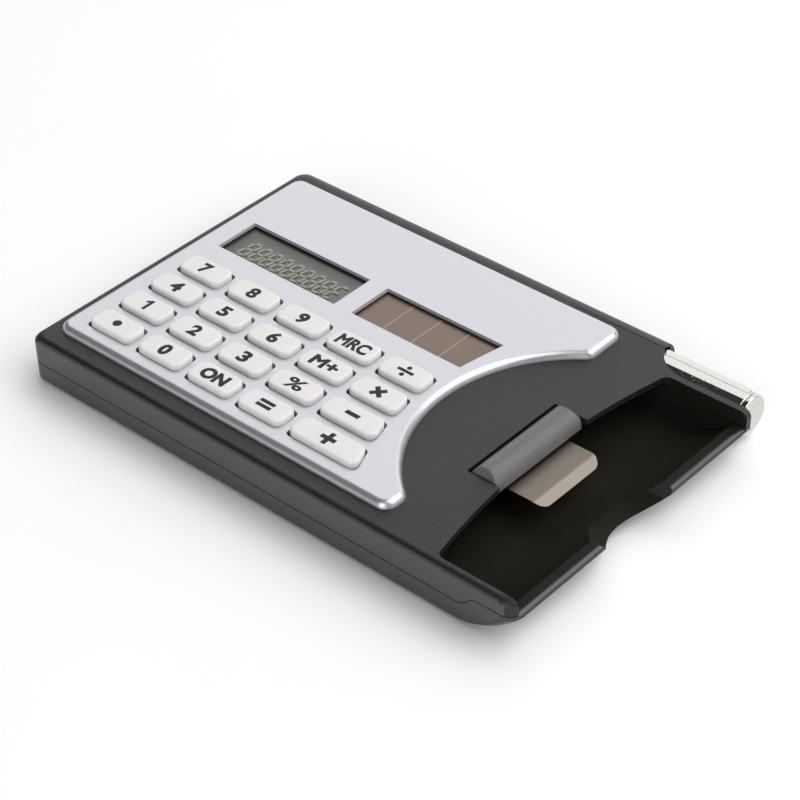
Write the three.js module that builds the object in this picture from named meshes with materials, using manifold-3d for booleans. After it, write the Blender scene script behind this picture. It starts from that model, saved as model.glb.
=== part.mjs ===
// A solar pocket calculator built into the lid of a business-card case, with a pen in a channel along the far
// side and a thumb slider that pushes the top card out. Millimetres, +Z up, +X towards the open card bay.
// Places are measured from the case's left end (X), its near side (Y) and the table (Z). The exported group
// moves that corner, so that the origin is the middle of the footprint, on the table.
import * as THREE from "three";
import { mergeVertices } from "three/addons/utils/BufferGeometryUtils.js";
import Module from "manifold-3d";

const wasm = await Module();
wasm.setup();

// ---- Driving dimensions ----

// Case
const CASE_LENGTH = 107.2;
const CASE_WIDTH = 70.5;
const CASE_HEIGHT = 9.2; // table to the flat top of the lid, without the faceplate
const WALL = 1.7;
const FLOOR = 1.1;
const SKIN = 1.2; // the lid's top
const CORNER = 1.8; // corners in plan at the left end
const END_CORNER = 2.6; // corners in plan at the open end
const EDGE = 1.3; // rounding of the lid's near, left and right edges
const FOOT_EDGE = 0.8; // rounding where the sides meet the floor
const FAR_EDGE = 3.75; // rounding over the pen
const FAR_FOOT_EDGE = 3.2;
const PARTING = 4.0; // height of the line between the two shells
const PARTING_RAISED = 6.3; // the same line at the open end, and the top of the end wall
const PARTING_GAP = 0.15;
const STEP_START = 11.2; // from the right end to where the parting line starts to climb
const STEP_RUN = 4.4; // length of the climb
const SWEEP_RADIUS = 16; // the floor sweeps up to the end wall like a stern
const SWEEP_ANGLE = THREE.MathUtils.degToRad(48);
const END_WALL = 2.35; // thickness of the end wall at its top
const RIM_EDGE = 0.9; // rounding of the end wall's outer top edge
const THUMB_RADIUS = 12.6; // thumb notch in the end wall
const THUMB_FLOOR = 2.1;
const CARD_LENGTH = 90;
const CARD_CLEARANCE = 0.8;
const CARD_STOP = 1.2; // thickness of the rib that the cards stop against

// Card bay, where the lid is open
const BAY_OPENING = 19.65; // right end to the middle of the lid's lip
const BAY_LIP_RADIUS = 130;
const BAY_CORNER = 1.3;

// Pen
const PEN_RADIUS = 3.6;
const PEN_CLEARANCE = 0.25;
const PEN_COVER = 0.65; // lid over the channel
const PEN_SIDE = 1.05; // case wall beyond the channel
const BAY_PEN_WALL = 1.25; // wall between the card bay and the channel
const PEN_LENGTH = 98;
const PEN_END_GAP = 2.2; // from the pen's end to the right end of the case
const PEN_PLUG_RADIUS = 3.68;
const PEN_PLUG_LENGTH = 0.75;
const PEN_RING_LENGTH = 0.3;
const PEN_NOSE_LENGTH = 13;
const PEN_BORE = 2.6;
const PEN_TIP_RADIUS = 1.5;
const PEN_TIP_BORE = 0.85;
const REFILL_RADIUS = 1.5;
const REFILL_TIP_RADIUS = 0.6;
const REFILL_PROUD = 1.6; // the writing point ahead of the nose
const CLIP_LENGTH = 35;
const CLIP_WIDTH = 2.4;
const CLIP_THICKNESS = 0.4;
const CLIP_GAP = 0.15; // between the clip and the barrel
const CLIP_ANGLE = THREE.MathUtils.degToRad(30); // from the vertical towards the far side
const CLIP_SLOT_CLEARANCE = 0.25;
const SCALLOP_RADIUS = 7.85;
const SCALLOP_FROM_END = 13.8; // centre of the scallop that bares the pen
const CRADLE_FROM_END = 7.8; // the lower shell stops here under the pen

// Faceplate
const PLATE_THICKNESS = 1.4;
const PLATE_LEFT = 2.5; // margin at the left end
const PLATE_NEAR = 4.0;
const PLATE_FAR = 5.4;
const PLATE_LENGTH = 76.2;
const PLATE_CORNER = 2.4;
const PLATE_TIP = 1.8;
const PLATE_BEVEL = 1.3;
const PLATE_ARC_RADIUS = 28.9; // concave edge towards the bay
const PLATE_ARC_CENTRE_X = 95.3;
const PLATE_ARC_CENTRE_Y = 32.4;

// Windows
const WINDOW_Y = 39.1;
const WINDOW_DEPTH = 8.8;
const WINDOW_RECESS = 0.85; // top of the glass below the face
const WINDOW_BEVEL = 0.35;
const LCD_X = 7.75;
const LCD_WIDTH = 27.5;
const SOLAR_X = 40.0;
const SOLAR_WIDTH = 23.8; // along its near edge
const SOLAR_SLANT = 1.7; // the far edge is longer by this
const GLASS_MARGIN = 0.9; // hidden border of each glass
const GLASS_THICKNESS = 1.1;
const GLASS_CLEARANCE = 0.15;

// Keys
const KEY_NAMES = [
  ["key_7", "key_8", "key_9", "key_memory_recall", "key_divide"],
  ["key_4", "key_5", "key_6", "key_memory_add", "key_multiply"],
  ["key_1", "key_2", "key_3", "key_percent", "key_minus"],
  ["key_point", "key_0", "key_on", "key_equals", "key_plus"],
];
const KEY_WIDTH = 9.7;
const KEY_DEPTH = 5.0;
const KEY_RISE = 1.0; // above the face
const KEY_CORNER = 1.7;
const KEY_ROUND = 0.55; // rounding of the top edge
const KEY_PITCH_X = 11.75;
const KEY_PITCH_Y = 7.13;
const KEY_FIRST_X = 11.85;
const KEY_FIRST_Y = 31.2;
const KEY_ARC_RADIUS = 59; // right ends of the last column lie on this arc
const KEY_ARC_X = 63.5;
const KEY_CLEARANCE = 0.22;
const KEY_HOLE_CORNER = 0.9;
const KEY_TRAVEL = 0.6;
const FLANGE = 0.55; // how far the flange stands out under the faceplate
const FLANGE_THICKNESS = 0.5;
const FLANGE_GAP = 0.3;
const OPENING_CLEARANCE = 0.4; // round the last column's flanges in the lid

// Electronics, stacked down from the keys
const DOME_GAP = 0.1; // left over the dome when a key is fully down
const DOME_HEIGHT = 0.3;
const DOME_RADIUS = 2.0;
const MAT_THICKNESS = 0.4;
const BOARD_THICKNESS = 0.6;
const BOARD_LEFT = 6.6;
const BOARD_NEAR = 6.5;
const BOARD_MARGIN = 4.75; // board beyond the last column's middle
const BOARD_TO_CELL = 0.8;
const CHIP_RADIUS = 3.4;
const CHIP_HEIGHT = 0.4;
const DIVIDER_THICKNESS = 0.6;
const DIVIDER_GAP = 0.3; // to the case walls
const BOARD_REST = 0.5; // ribs that lift the board off the divider
const CELL_RADIUS = 4.75;
const CELL_HEIGHT = 1.6;
const CELL_X = 44;
const CONTACT_THICKNESS = 0.2;
const CONTACT_WIDTH = 2.4;

// Screws that hold the divider up to the lid
const BOSS_RADIUS = 1.6;
const SCREW_RADIUS = 0.75;
const SCREW_HEAD_RADIUS = 1.5;
const SCREW_HEAD_HEIGHT = 0.3;
const SCREW_LENGTH = 2.6;
const SCREW_CLEARANCE = 0.12;
const BOSS_INSET = 2.6; // boss centre from the inside of the walls

// Thumb slider
const BAR_RADIUS = 2.8;
const BAR_LENGTH = 21.8;
const BAR_END_BEVEL = 0.7;
const BAR_BASE = 0.7; // straight part under the half round
const BAR_GAP = 0.35; // between the bar and the notch that it rests in
const BAR_CENTRE_Y = 31.4;
const TONGUE_TO_BOARD = 0.6;
const TONGUE_WIDTH = 14;
const TONGUE_THICKNESS = 1.0;
const SLIDE_GAP = 0.3;
const LEAF_WIDTH = 15.8;
const LEAF_OFFSET = 0.35; // the leaf's middle lies this much nearer than the bar's
const LEAF_THICKNESS = 0.25;
const LEAF_CORNER = 2.2;
const LEAF_HIDDEN = 12; // length clamped under the tongue
const LEAF_FLAT = 5.2; // from the bar to where the lip turns down
const LEAF_LIP = 1.7;
const RAIL_WIDTH = 1.2;
const SLIDER_TRAVEL = 9;

// Steps round a quarter circle
const QUARTER = 4;
const ROUND = 24;

// ---- Heights and places worked out from the dimensions ----

const FACE = CASE_HEIGHT + PLATE_THICKNESS;
const UNDER_SKIN = CASE_HEIGHT - SKIN;
const FLANGE_TOP = CASE_HEIGHT - FLANGE_GAP;
const FLANGE_LOW = FLANGE_TOP - FLANGE_THICKNESS;
const MAT_TOP = FLANGE_LOW - KEY_TRAVEL - DOME_GAP - DOME_HEIGHT;
const BOARD_TOP = MAT_TOP - MAT_THICKNESS;
const BOARD_LOW = BOARD_TOP - BOARD_THICKNESS;
const DIVIDER_TOP = BOARD_LOW - BOARD_REST;
const DIVIDER_LOW = DIVIDER_TOP - DIVIDER_THICKNESS;
const GLASS_TOP = FACE - WINDOW_RECESS;
const GLASS_LOW = GLASS_TOP - GLASS_THICKNESS;

const CHANNEL_RADIUS = PEN_RADIUS + PEN_CLEARANCE;
const PEN_Y = CASE_WIDTH - PEN_SIDE - CHANNEL_RADIUS;
const PEN_Z = CASE_HEIGHT - PEN_COVER - CHANNEL_RADIUS;
const PEN_END = CASE_LENGTH - PEN_END_GAP;
const PEN_WALL_Y = PEN_Y - CHANNEL_RADIUS; // far face of the wall beside the channel
const BAY_FAR = PEN_WALL_Y - BAY_PEN_WALL;
const BAY_MIDDLE = (WALL + BAY_FAR) / 2;

const LIP_X = CASE_LENGTH - BAY_OPENING;
const SWEEP_RISE = SWEEP_RADIUS * (1 - Math.cos(SWEEP_ANGLE));
const WIDEST_Z = PARTING_RAISED - RIM_EDGE;
const SWEEP_START =
  CASE_LENGTH - SWEEP_RADIUS * Math.sin(SWEEP_ANGLE) - (WIDEST_Z - SWEEP_RISE) / Math.tan(SWEEP_ANGLE);
const BAY_END = CASE_LENGTH - END_WALL;
const CARD_STOP_X = BAY_END - CARD_LENGTH - CARD_CLEARANCE;

const BAR_LEFT = LIP_X - 2 * BAR_RADIUS - BAR_GAP + 0.1;
const BAR_AXIS_X = BAR_LEFT + BAR_RADIUS;
const BAR_AXIS_Z = FACE - BAR_RADIUS;
const TONGUE_TOP = UNDER_SKIN - SLIDE_GAP;
const TONGUE_LOW = TONGUE_TOP - TONGUE_THICKNESS;
const LEAF_CENTRE_Y = BAR_CENTRE_Y - LEAF_OFFSET;
const BAR_LOW = Math.max(BAR_AXIS_Z - BAR_BASE, TONGUE_LOW);
const DIVIDER_RIGHT = BAR_LEFT - 1.8;

const CELL_Y = BAY_FAR - CELL_RADIUS - 0.5;
const CELL_LOW = DIVIDER_TOP + CONTACT_THICKNESS;
const BOARD_LENGTH = KEY_FIRST_X + (KEY_NAMES[0].length - 1) * KEY_PITCH_X + BOARD_MARGIN - BOARD_LEFT;
const BOARD_WIDTH = CELL_Y - CELL_RADIUS - BOARD_TO_CELL - BOARD_NEAR;
const TONGUE_LEFT = BOARD_LEFT + BOARD_LENGTH + TONGUE_TO_BOARD;

// Holes in the lid under the faceplate, and the board, follow the same left and near margins.
const OPENING_LEFT = BOARD_LEFT - 1.6;
const OPENING_NEAR = BOARD_NEAR - 0.5;
const OPENING_FAR = WINDOW_Y + WINDOW_DEPTH + GLASS_MARGIN + 1.8;

// ---- Materials ----

function plastic(color, roughness) {
  return new THREE.MeshStandardMaterial({ color, roughness, metalness: 0 });
}

function metal(color, roughness) {
  return new THREE.MeshStandardMaterial({ color, roughness, metalness: 1 });
}

const BLACK_ABS = plastic("#454345", 0.5);
const SILVER_PAINT = new THREE.MeshStandardMaterial({ color: "#d6d5da", roughness: 0.4, metalness: 0.3 });
const KEY_WHITE = plastic("#e6e3e0", 0.4);
const BAR_GREY = plastic("#7d7876", 0.5);
const BOARD_GREEN = plastic("#2f6b3c", 0.5);
const SILICONE_GREY = plastic("#8a8d90", 0.8);
const EPOXY_BLACK = plastic("#151517", 0.4);
const GLASS_GREY = plastic("#70726c", 0.15);
const SOLAR_BROWN = plastic("#84746a", 0.2);
const CONNECTOR_PINK = plastic("#c49a94", 0.7);
const INK_TUBE = plastic("#d9dde2", 0.4);
const CHROME = metal("#d9d8d6", 0.08);
const STAINLESS = metal("#86807a", 0.3);
const BRASS = metal("#b59a5a", 0.25);
const NICKEL = metal("#b9bbbd", 0.25);
const SCREW_STEEL = metal("#8d8f92", 0.35);

// ---- Geometry helpers ----

/** A closed three.js geometry as a solid that can be joined and cut. */
function solidOf(geometry) {
  const loose = geometry.index ? geometry.toNonIndexed() : geometry.clone();
  const bare = new THREE.BufferGeometry().setAttribute("position", loose.getAttribute("position"));
  const merged = mergeVertices(bare, 1e-4);
  const triVerts = new Uint32Array(merged.index.array);
  const vertProperties = merged.attributes.position.array;
  return new wasm.Manifold(new wasm.Mesh({ numProp: 3, vertProperties, triVerts }));
}

/** The solid as a named mesh. */
function piece(name, solid, material) {
  const made = solid.getMesh();
  const points = new Float32Array(made.numVert * 3);
  for (let i = 0; i < made.numVert; i++) {
    points.set(made.vertProperties.subarray(i * made.numProp, i * made.numProp + 3), i * 3);
  }
  const geometry = new THREE.BufferGeometry();
  geometry.setAttribute("position", new THREE.BufferAttribute(points, 3));
  geometry.setIndex(new THREE.BufferAttribute(made.triVerts, 1));
  const faceted = geometry.toNonIndexed();
  faceted.computeVertexNormals();
  const mesh = new THREE.Mesh(faceted, material);
  mesh.name = name;
  return mesh;
}

function add(...solids) {
  return solids.reduce((sum, next) => sum.add(next));
}

function cut(body, ...tools) {
  return tools.reduce((left, tool) => left.subtract(tool), body);
}

function arc(x, y, radius, from, to, steps = QUARTER) {
  const start = THREE.MathUtils.degToRad(from);
  const end = THREE.MathUtils.degToRad(to);
  return new THREE.EllipseCurve(x, y, radius, radius, start, end, end < start).getPoints(steps);
}

/** A rectangle in plan with rounded corners, anticlockwise from the near left. */
function roundedBox(left, right, near, far, radius, steps = QUARTER, rightRadius = radius) {
  return [
    ...arc(left + radius, near + radius, radius, 180, 270, steps),
    ...arc(right - rightRadius, near + rightRadius, rightRadius, 270, 360, steps),
    ...arc(right - rightRadius, far - rightRadius, rightRadius, 0, 90, steps),
    ...arc(left + radius, far - radius, radius, 90, 180, steps),
  ];
}

/** An upright block over an outline in plan. */
function prism(outline, low, high) {
  const shape = new THREE.Shape(outline);
  const geometry = new THREE.ExtrudeGeometry(shape, { depth: high - low, bevelEnabled: false });
  return solidOf(geometry.translate(0, 0, low));
}

/** A block over an outline drawn in X and Z, from one Y to another. */
function sideProfile(outline, near, far) {
  const shape = new THREE.Shape(outline);
  const geometry = new THREE.ExtrudeGeometry(shape, { depth: far - near, bevelEnabled: false });
  return solidOf(geometry.rotateX(Math.PI / 2).translate(0, far, 0));
}

function box(left, right, near, far, low, high) {
  const geometry = new THREE.BoxGeometry(right - left, far - near, high - low);
  return solidOf(geometry.translate((left + right) / 2, (near + far) / 2, (low + high) / 2));
}

function upright(x, y, radius, low, high, sides = 12) {
  const geometry = new THREE.CylinderGeometry(radius, radius, high - low, sides);
  return solidOf(geometry.rotateX(Math.PI / 2).translate(x, y, (low + high) / 2));
}

/** A turned piece about an axis along X: pairs of distance along X and radius, from the axis to the axis. */
function turned(profile, y, z, sides = ROUND) {
  const points = profile.map(([x, radius]) => new THREE.Vector2(radius, x));
  const geometry = new THREE.LatheGeometry(points, sides);
  const along = new THREE.Matrix4().set(0, 1, 0, 0, 1, 0, 0, y, 0, 0, -1, z, 0, 0, 0, 1);
  return solidOf(geometry.applyMatrix4(along));
}

/** A closed solid through outlines of equal point count, each at its own height, lowest first. */
function loft(rings) {
  const count = rings[0].outline.length;
  const points = rings.flatMap(({ z, outline }) => outline.map((p) => [p.x, p.y, z]));
  const faces = [];
  for (let level = 0; level + 1 < rings.length; level++) {
    for (let i = 0; i < count; i++) {
      const a = level * count + i;
      const b = level * count + ((i + 1) % count);
      faces.push([a, b, b + count], [a, b + count, a + count]);
    }
  }
  const top = (rings.length - 1) * count;
  for (const [a, b, c] of THREE.ShapeUtils.triangulateShape(rings[0].outline, [])) faces.push([a, c, b]);
  for (const [a, b, c] of THREE.ShapeUtils.triangulateShape(rings.at(-1).outline, [])) {
    faces.push([top + a, top + b, top + c]);
  }
  const geometry = new THREE.BufferGeometry();
  geometry.setAttribute("position", new THREE.Float32BufferAttribute(points.flat(), 3));
  geometry.setIndex(faces.flat());
  return solidOf(geometry);
}

// ---- Case ----

/** How far a side has drawn in at height z, for a rounded foot and a rounded top edge. */
function drawnIn(z, foot, top) {
  const below = Math.max(0, foot - z);
  const above = Math.max(0, z - (CASE_HEIGHT - top));
  return foot - Math.sqrt(foot ** 2 - below ** 2) + top - Math.sqrt(Math.max(0, top ** 2 - above ** 2));
}

/** X of the right end at height z: an arc up from the floor, a straight slope, then upright. */
function endX(z) {
  if (z <= SWEEP_RISE) return SWEEP_START + Math.sqrt(SWEEP_RADIUS ** 2 - (SWEEP_RADIUS - z) ** 2);
  if (z < WIDEST_Z) return CASE_LENGTH - (WIDEST_Z - z) / Math.tan(SWEEP_ANGLE);
  return CASE_LENGTH - drawnIn(z, 0, EDGE);
}

/** The whole outside of the closed case, as one solid. */
function caseOutside() {
  const sweep = [0, 1, 2, 3, 4, 5, 6, 7, 8].map((i) => SWEEP_RADIUS * (1 - Math.cos((SWEEP_ANGLE * i) / 8)));
  const over = [0, 15, 30, 43].map((a) => CASE_HEIGHT - FAR_EDGE * (1 - Math.sin(THREE.MathUtils.degToRad(a))));
  const edge = [0, 22.5, 45, 67.5, 90].map((a) => CASE_HEIGHT - EDGE * (1 - Math.sin(THREE.MathUtils.degToRad(a))));
  const heights = [...sweep, WIDEST_Z, ...over, ...edge].sort((a, b) => a - b);
  const distinct = heights.filter((z, i) => i === 0 || z - heights[i - 1] > 0.04);
  return loft(
    distinct.map((z) => {
      const side = drawnIn(z, FOOT_EDGE, EDGE);
      const far = CASE_WIDTH - drawnIn(z, FAR_FOOT_EDGE, FAR_EDGE);
      return { z, outline: roundedBox(side, endX(z), side, far, CORNER, QUARTER + 1, END_CORNER) };
    }),
  );
}

/** Everything above the line between the shells, which climbs in an S near the open end. */
function abovePartingLine(drop) {
  const start = new THREE.Vector2(CASE_LENGTH - STEP_START, PARTING - drop);
  const end = new THREE.Vector2(start.x + STEP_RUN, PARTING_RAISED - drop);
  const climb = new THREE.CubicBezierCurve(
    start,
    new THREE.Vector2(start.x + STEP_RUN / 2, start.y),
    new THREE.Vector2(start.x + STEP_RUN / 2, end.y),
    end,
  );
  const beyond = 5;
  return sideProfile(
    [
      new THREE.Vector2(-beyond, start.y),
      ...climb.getPoints(8),
      new THREE.Vector2(CASE_LENGTH + beyond, end.y),
      new THREE.Vector2(CASE_LENGTH + beyond, CASE_HEIGHT + beyond),
      new THREE.Vector2(-beyond, CASE_HEIGHT + beyond),
    ],
    -beyond,
    CASE_WIDTH + beyond,
  );
}

function penChannel() {
  const left = PEN_END - PEN_LENGTH - REFILL_PROUD - 1;
  return turned(
    [
      [left, 0],
      [left, CHANNEL_RADIUS],
      [CASE_LENGTH + 5, CHANNEL_RADIUS],
      [CASE_LENGTH + 5, 0],
    ],
    PEN_Y,
    PEN_Z,
  );
}

/** A block over the clip's place on the barrel: from one X to another, between two radii, of a width. */
function clipBlock(left, right, inner, outer, width) {
  const geometry = new THREE.BoxGeometry(right - left, width, outer - inner);
  geometry.translate((left + right) / 2, 0, (inner + outer) / 2);
  geometry.rotateX(-CLIP_ANGLE);
  return solidOf(geometry.translate(0, PEN_Y, PEN_Z));
}

function clipSlot() {
  const outer = PEN_RADIUS + CLIP_GAP + CLIP_THICKNESS + CLIP_SLOT_CLEARANCE;
  const left = PEN_END - CLIP_LENGTH - 3;
  return clipBlock(left, CASE_LENGTH + 5, PEN_RADIUS - 0.6, outer, CLIP_WIDTH + 2 * CLIP_SLOT_CLEARANCE);
}

/** Plan of the opening in the lid over the card bay: the lip is a shallow arc, and the right side is open. */
function bayOpening() {
  const beyond = CASE_LENGTH + 5;
  const lip = arc(LIP_X + BAY_LIP_RADIUS, BAY_MIDDLE, BAY_LIP_RADIUS, 168, 192, 12).filter(
    (p) => p.y > WALL + BAY_CORNER && p.y < BAY_FAR - BAY_CORNER,
  );
  const first = lip[0];
  const last = lip.at(-1);
  return [
    new THREE.Vector2(beyond, BAY_FAR),
    ...arc(first.x + BAY_CORNER + 0.25, BAY_FAR - BAY_CORNER, BAY_CORNER, 90, 165),
    ...lip,
    ...arc(last.x + BAY_CORNER + 0.25, WALL + BAY_CORNER, BAY_CORNER, 195, 270),
    new THREE.Vector2(beyond, WALL),
  ];
}

/** Where the four screws stand. */
function screwPlaces() {
  const left = WALL + BOSS_INSET;
  const right = DIVIDER_RIGHT - BOSS_INSET;
  const near = WALL + BOSS_INSET;
  const far = BAY_FAR - BOSS_INSET;
  return [
    [left, near],
    [right, near],
    [left, far],
    [right, far],
  ];
}

/** Room in the lid under the faceplate for the keys and the glasses, kept inside the plate's concave edge. */
function lidOpening() {
  const low = UNDER_SKIN - 1;
  const high = CASE_HEIGHT + 1;
  const last = KEY_NAMES[0].length - 1;
  const rightEnds = KEY_NAMES.map((_, row) =>
    prism(keyOutline(row, last, FLANGE + OPENING_CLEARANCE, KEY_HOLE_CORNER), low, high),
  );
  return add(
    box(OPENING_LEFT, keyRightEnd(KEY_FIRST_Y), OPENING_NEAR, OPENING_FAR, low, high),
    prism(solarOutline(GLASS_MARGIN + GLASS_CLEARANCE), low, high),
    ...rightEnds,
  );
}

function topShell(outside) {
  const beyond = 5;
  const inside = box(WALL, CASE_LENGTH + beyond, WALL, BAY_FAR, -beyond, UNDER_SKIN);
  const bosses = screwPlaces().map(([x, y]) => upright(x, y, BOSS_RADIUS, DIVIDER_TOP, UNDER_SKIN + 0.1));
  const pilots = screwPlaces().map(([x, y]) =>
    upright(x, y, SCREW_RADIUS + SCREW_CLEARANCE, -beyond, UNDER_SKIN + 0.2, 8),
  );
  const notch = box(
    BAR_LEFT - BAR_GAP,
    LIP_X + 2,
    BAR_CENTRE_Y - BAR_LENGTH / 2 - BAR_GAP,
    BAR_CENTRE_Y + BAR_LENGTH / 2 + BAR_GAP,
    UNDER_SKIN - 1,
    CASE_HEIGHT + 1,
  );
  const scallopX = CASE_LENGTH - SCALLOP_FROM_END;
  const scallop = prism(
    [
      ...arc(scallopX, PEN_WALL_Y + SCALLOP_RADIUS, SCALLOP_RADIUS, 180, 270, 10),
      new THREE.Vector2(CASE_LENGTH + beyond, PEN_WALL_Y),
      new THREE.Vector2(CASE_LENGTH + beyond, CASE_WIDTH + beyond),
      new THREE.Vector2(scallopX - SCALLOP_RADIUS, CASE_WIDTH + beyond),
    ],
    -beyond,
    CASE_HEIGHT + beyond,
  );
  const hollow = cut(outside.intersect(abovePartingLine(0)), inside);
  return cut(
    add(hollow, ...bosses),
    ...pilots,
    prism(bayOpening(), -beyond, CASE_HEIGHT + beyond),
    notch,
    lidOpening(),
    penChannel(),
    clipSlot(),
    scallop,
  );
}

/** The card pocket's side view: a flat floor that sweeps up to the end wall. */
function pocketProfile() {
  const radius = SWEEP_RADIUS - FLOOR;
  const foot = BAY_END - Math.sqrt(radius ** 2 - (SWEEP_RADIUS - PARTING_RAISED) ** 2);
  const finish = Math.acos((SWEEP_RADIUS - PARTING_RAISED) / radius);
  const degrees = THREE.MathUtils.radToDeg(finish);
  const high = CASE_HEIGHT;
  return [
    new THREE.Vector2(CARD_STOP_X, FLOOR),
    ...arc(foot, SWEEP_RADIUS, radius, 270, 270 + degrees, 8),
    new THREE.Vector2(BAY_END, high),
    new THREE.Vector2(CARD_STOP_X, high),
  ];
}

function bottomShell(outside) {
  const beyond = 5;
  const lower = cut(outside, abovePartingLine(PARTING_GAP));
  const pocket = sideProfile(pocketProfile(), WALL, BAY_FAR);
  const behindStop = box(WALL, CARD_STOP_X - CARD_STOP, WALL, BAY_FAR, FLOOR, CASE_HEIGHT);
  const underPen = PARTING - PARTING_GAP;
  const cradleEnd = CASE_LENGTH - CRADLE_FROM_END;
  const thumb = turned(
    [
      [cradleEnd - 6, 0],
      [cradleEnd - 6, THUMB_RADIUS],
      [CASE_LENGTH + beyond, THUMB_RADIUS],
      [CASE_LENGTH + beyond, 0],
    ],
    BAR_CENTRE_Y,
    THUMB_FLOOR + THUMB_RADIUS,
    48,
  );
  const rim = sideProfile(
    [
      ...arc(CASE_LENGTH - RIM_EDGE, WIDEST_Z - PARTING_GAP, RIM_EDGE, 0, 90),
      new THREE.Vector2(CASE_LENGTH - RIM_EDGE, CASE_HEIGHT),
      new THREE.Vector2(CASE_LENGTH + beyond, CASE_HEIGHT),
      new THREE.Vector2(CASE_LENGTH + beyond, WIDEST_Z - PARTING_GAP),
    ],
    WALL,
    BAY_FAR,
  );
  return cut(
    lower,
    pocket,
    behindStop,
    penChannel(),
    clipSlot(),
    box(-beyond, CASE_LENGTH + beyond, PEN_WALL_Y, CASE_WIDTH + beyond, underPen, CASE_HEIGHT + beyond),
    box(cradleEnd, CASE_LENGTH + beyond, PEN_WALL_Y, CASE_WIDTH + beyond, -beyond, CASE_HEIGHT),
    thumb,
    rim,
  );
}

// ---- Faceplate ----

/** Plan of the faceplate, drawn in by an inset: straight sides, and a concave edge towards the bay. */
function plateOutline(inset) {
  const left = PLATE_LEFT;
  const near = PLATE_NEAR;
  const far = CASE_WIDTH - PLATE_FAR;
  const right = left + PLATE_LENGTH;
  const corner = PLATE_CORNER;
  const tipX = right - PLATE_TIP;
  const reach = Math.sqrt((PLATE_ARC_RADIUS + PLATE_TIP) ** 2 - (tipX - PLATE_ARC_CENTRE_X) ** 2);
  const turn = THREE.MathUtils.radToDeg(Math.atan2(reach, PLATE_ARC_CENTRE_X - tipX));
  const bend = PLATE_ARC_RADIUS + inset;
  const tip = PLATE_TIP - inset;
  return [
    ...arc(left + corner, near + corner, corner - inset, 180, 270),
    ...arc(right - corner, near + corner, corner - inset, 270, 360),
    ...arc(tipX, PLATE_ARC_CENTRE_Y - reach, tip, 0, turn),
    ...arc(PLATE_ARC_CENTRE_X, PLATE_ARC_CENTRE_Y, bend, 180 + turn, 180 - turn, 24),
    ...arc(tipX, PLATE_ARC_CENTRE_Y + reach, tip, -turn, 0),
    ...arc(right - corner, far - corner, corner - inset, 0, 90),
    ...arc(left + corner, far - corner, corner - inset, 90, 180),
  ];
}

function lcdOutline(margin) {
  return [
    new THREE.Vector2(LCD_X - margin, WINDOW_Y - margin),
    new THREE.Vector2(LCD_X + LCD_WIDTH + margin, WINDOW_Y - margin),
    new THREE.Vector2(LCD_X + LCD_WIDTH + margin, WINDOW_Y + WINDOW_DEPTH + margin),
    new THREE.Vector2(LCD_X - margin, WINDOW_Y + WINDOW_DEPTH + margin),
  ];
}

function solarOutline(margin) {
  const right = SOLAR_X + SOLAR_WIDTH + margin;
  return [
    new THREE.Vector2(SOLAR_X - margin, WINDOW_Y - margin),
    new THREE.Vector2(right, WINDOW_Y - margin),
    new THREE.Vector2(right + SOLAR_SLANT, WINDOW_Y + WINDOW_DEPTH + margin),
    new THREE.Vector2(SOLAR_X - margin, WINDOW_Y + WINDOW_DEPTH + margin),
  ];
}

/** A window: sloping sides above, then the pocket that holds the glass from below. */
function windowCut(outlineOf) {
  const slope = FACE - WINDOW_BEVEL;
  const opening = loft([
    { z: CASE_HEIGHT - 1, outline: outlineOf(0) },
    { z: slope, outline: outlineOf(0) },
    { z: FACE + WINDOW_BEVEL, outline: outlineOf(2 * WINDOW_BEVEL) },
  ]);
  const pocket = prism(outlineOf(GLASS_MARGIN + GLASS_CLEARANCE), CASE_HEIGHT - 1, GLASS_TOP);
  return add(opening, pocket);
}

/** Hooks that hold the faceplate: each passes the lid's opening and turns out under its skin. */
function plateHooks() {
  const low = UNDER_SKIN - 0.5;
  const catchTop = UNDER_SKIN - 0.2;
  const high = CASE_HEIGHT + 0.2;
  const gap = 0.25;
  const thick = 0.7;
  const reach = 0.5;
  const left = OPENING_LEFT + gap;
  const far = OPENING_FAR - gap;
  const sideways = [WINDOW_Y - 3.4, KEY_FIRST_Y - 1.5 * KEY_PITCH_Y - 1].flatMap((y) => [
    box(left, left + thick, y, y + 2.4, low, high),
    box(left - gap - reach, left + thick, y, y + 2.4, low, catchTop),
  ]);
  const farther = [LCD_X + 8, SOLAR_X + 14].flatMap((x) => [
    box(x, x + 4, far - thick, far, low, high),
    box(x, x + 4, far - thick, far + gap + reach, low, catchTop),
  ]);
  return [...sideways, ...farther];
}

function faceplate() {
  const bevel = [0, 30, 60, 90].map((a) => {
    const angle = THREE.MathUtils.degToRad(a);
    const inset = PLATE_BEVEL * (1 - Math.cos(angle));
    return { z: FACE - PLATE_BEVEL * (1 - Math.sin(angle)), outline: plateOutline(inset) };
  });
  const slab = loft([{ z: CASE_HEIGHT, outline: plateOutline(0) }, ...bevel]);
  const holes = keyPlaces().map(({ row, column }) =>
    prism(keyOutline(row, column, KEY_CLEARANCE, KEY_HOLE_CORNER), CASE_HEIGHT - 1, FACE + 1),
  );
  return cut(add(slab, ...plateHooks()), ...holes, windowCut(lcdOutline), windowCut(solarOutline));
}

// ---- Keys ----

function keyPlaces() {
  return KEY_NAMES.flatMap((names, row) => names.map((name, column) => ({ name, row, column })));
}

/** X of the right end of a last-column key at a height y up the pad. */
function keyRightEnd(y) {
  const rise = y - PLATE_ARC_CENTRE_Y;
  return KEY_ARC_X + KEY_ARC_RADIUS - Math.sqrt(KEY_ARC_RADIUS ** 2 - rise ** 2);
}

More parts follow.
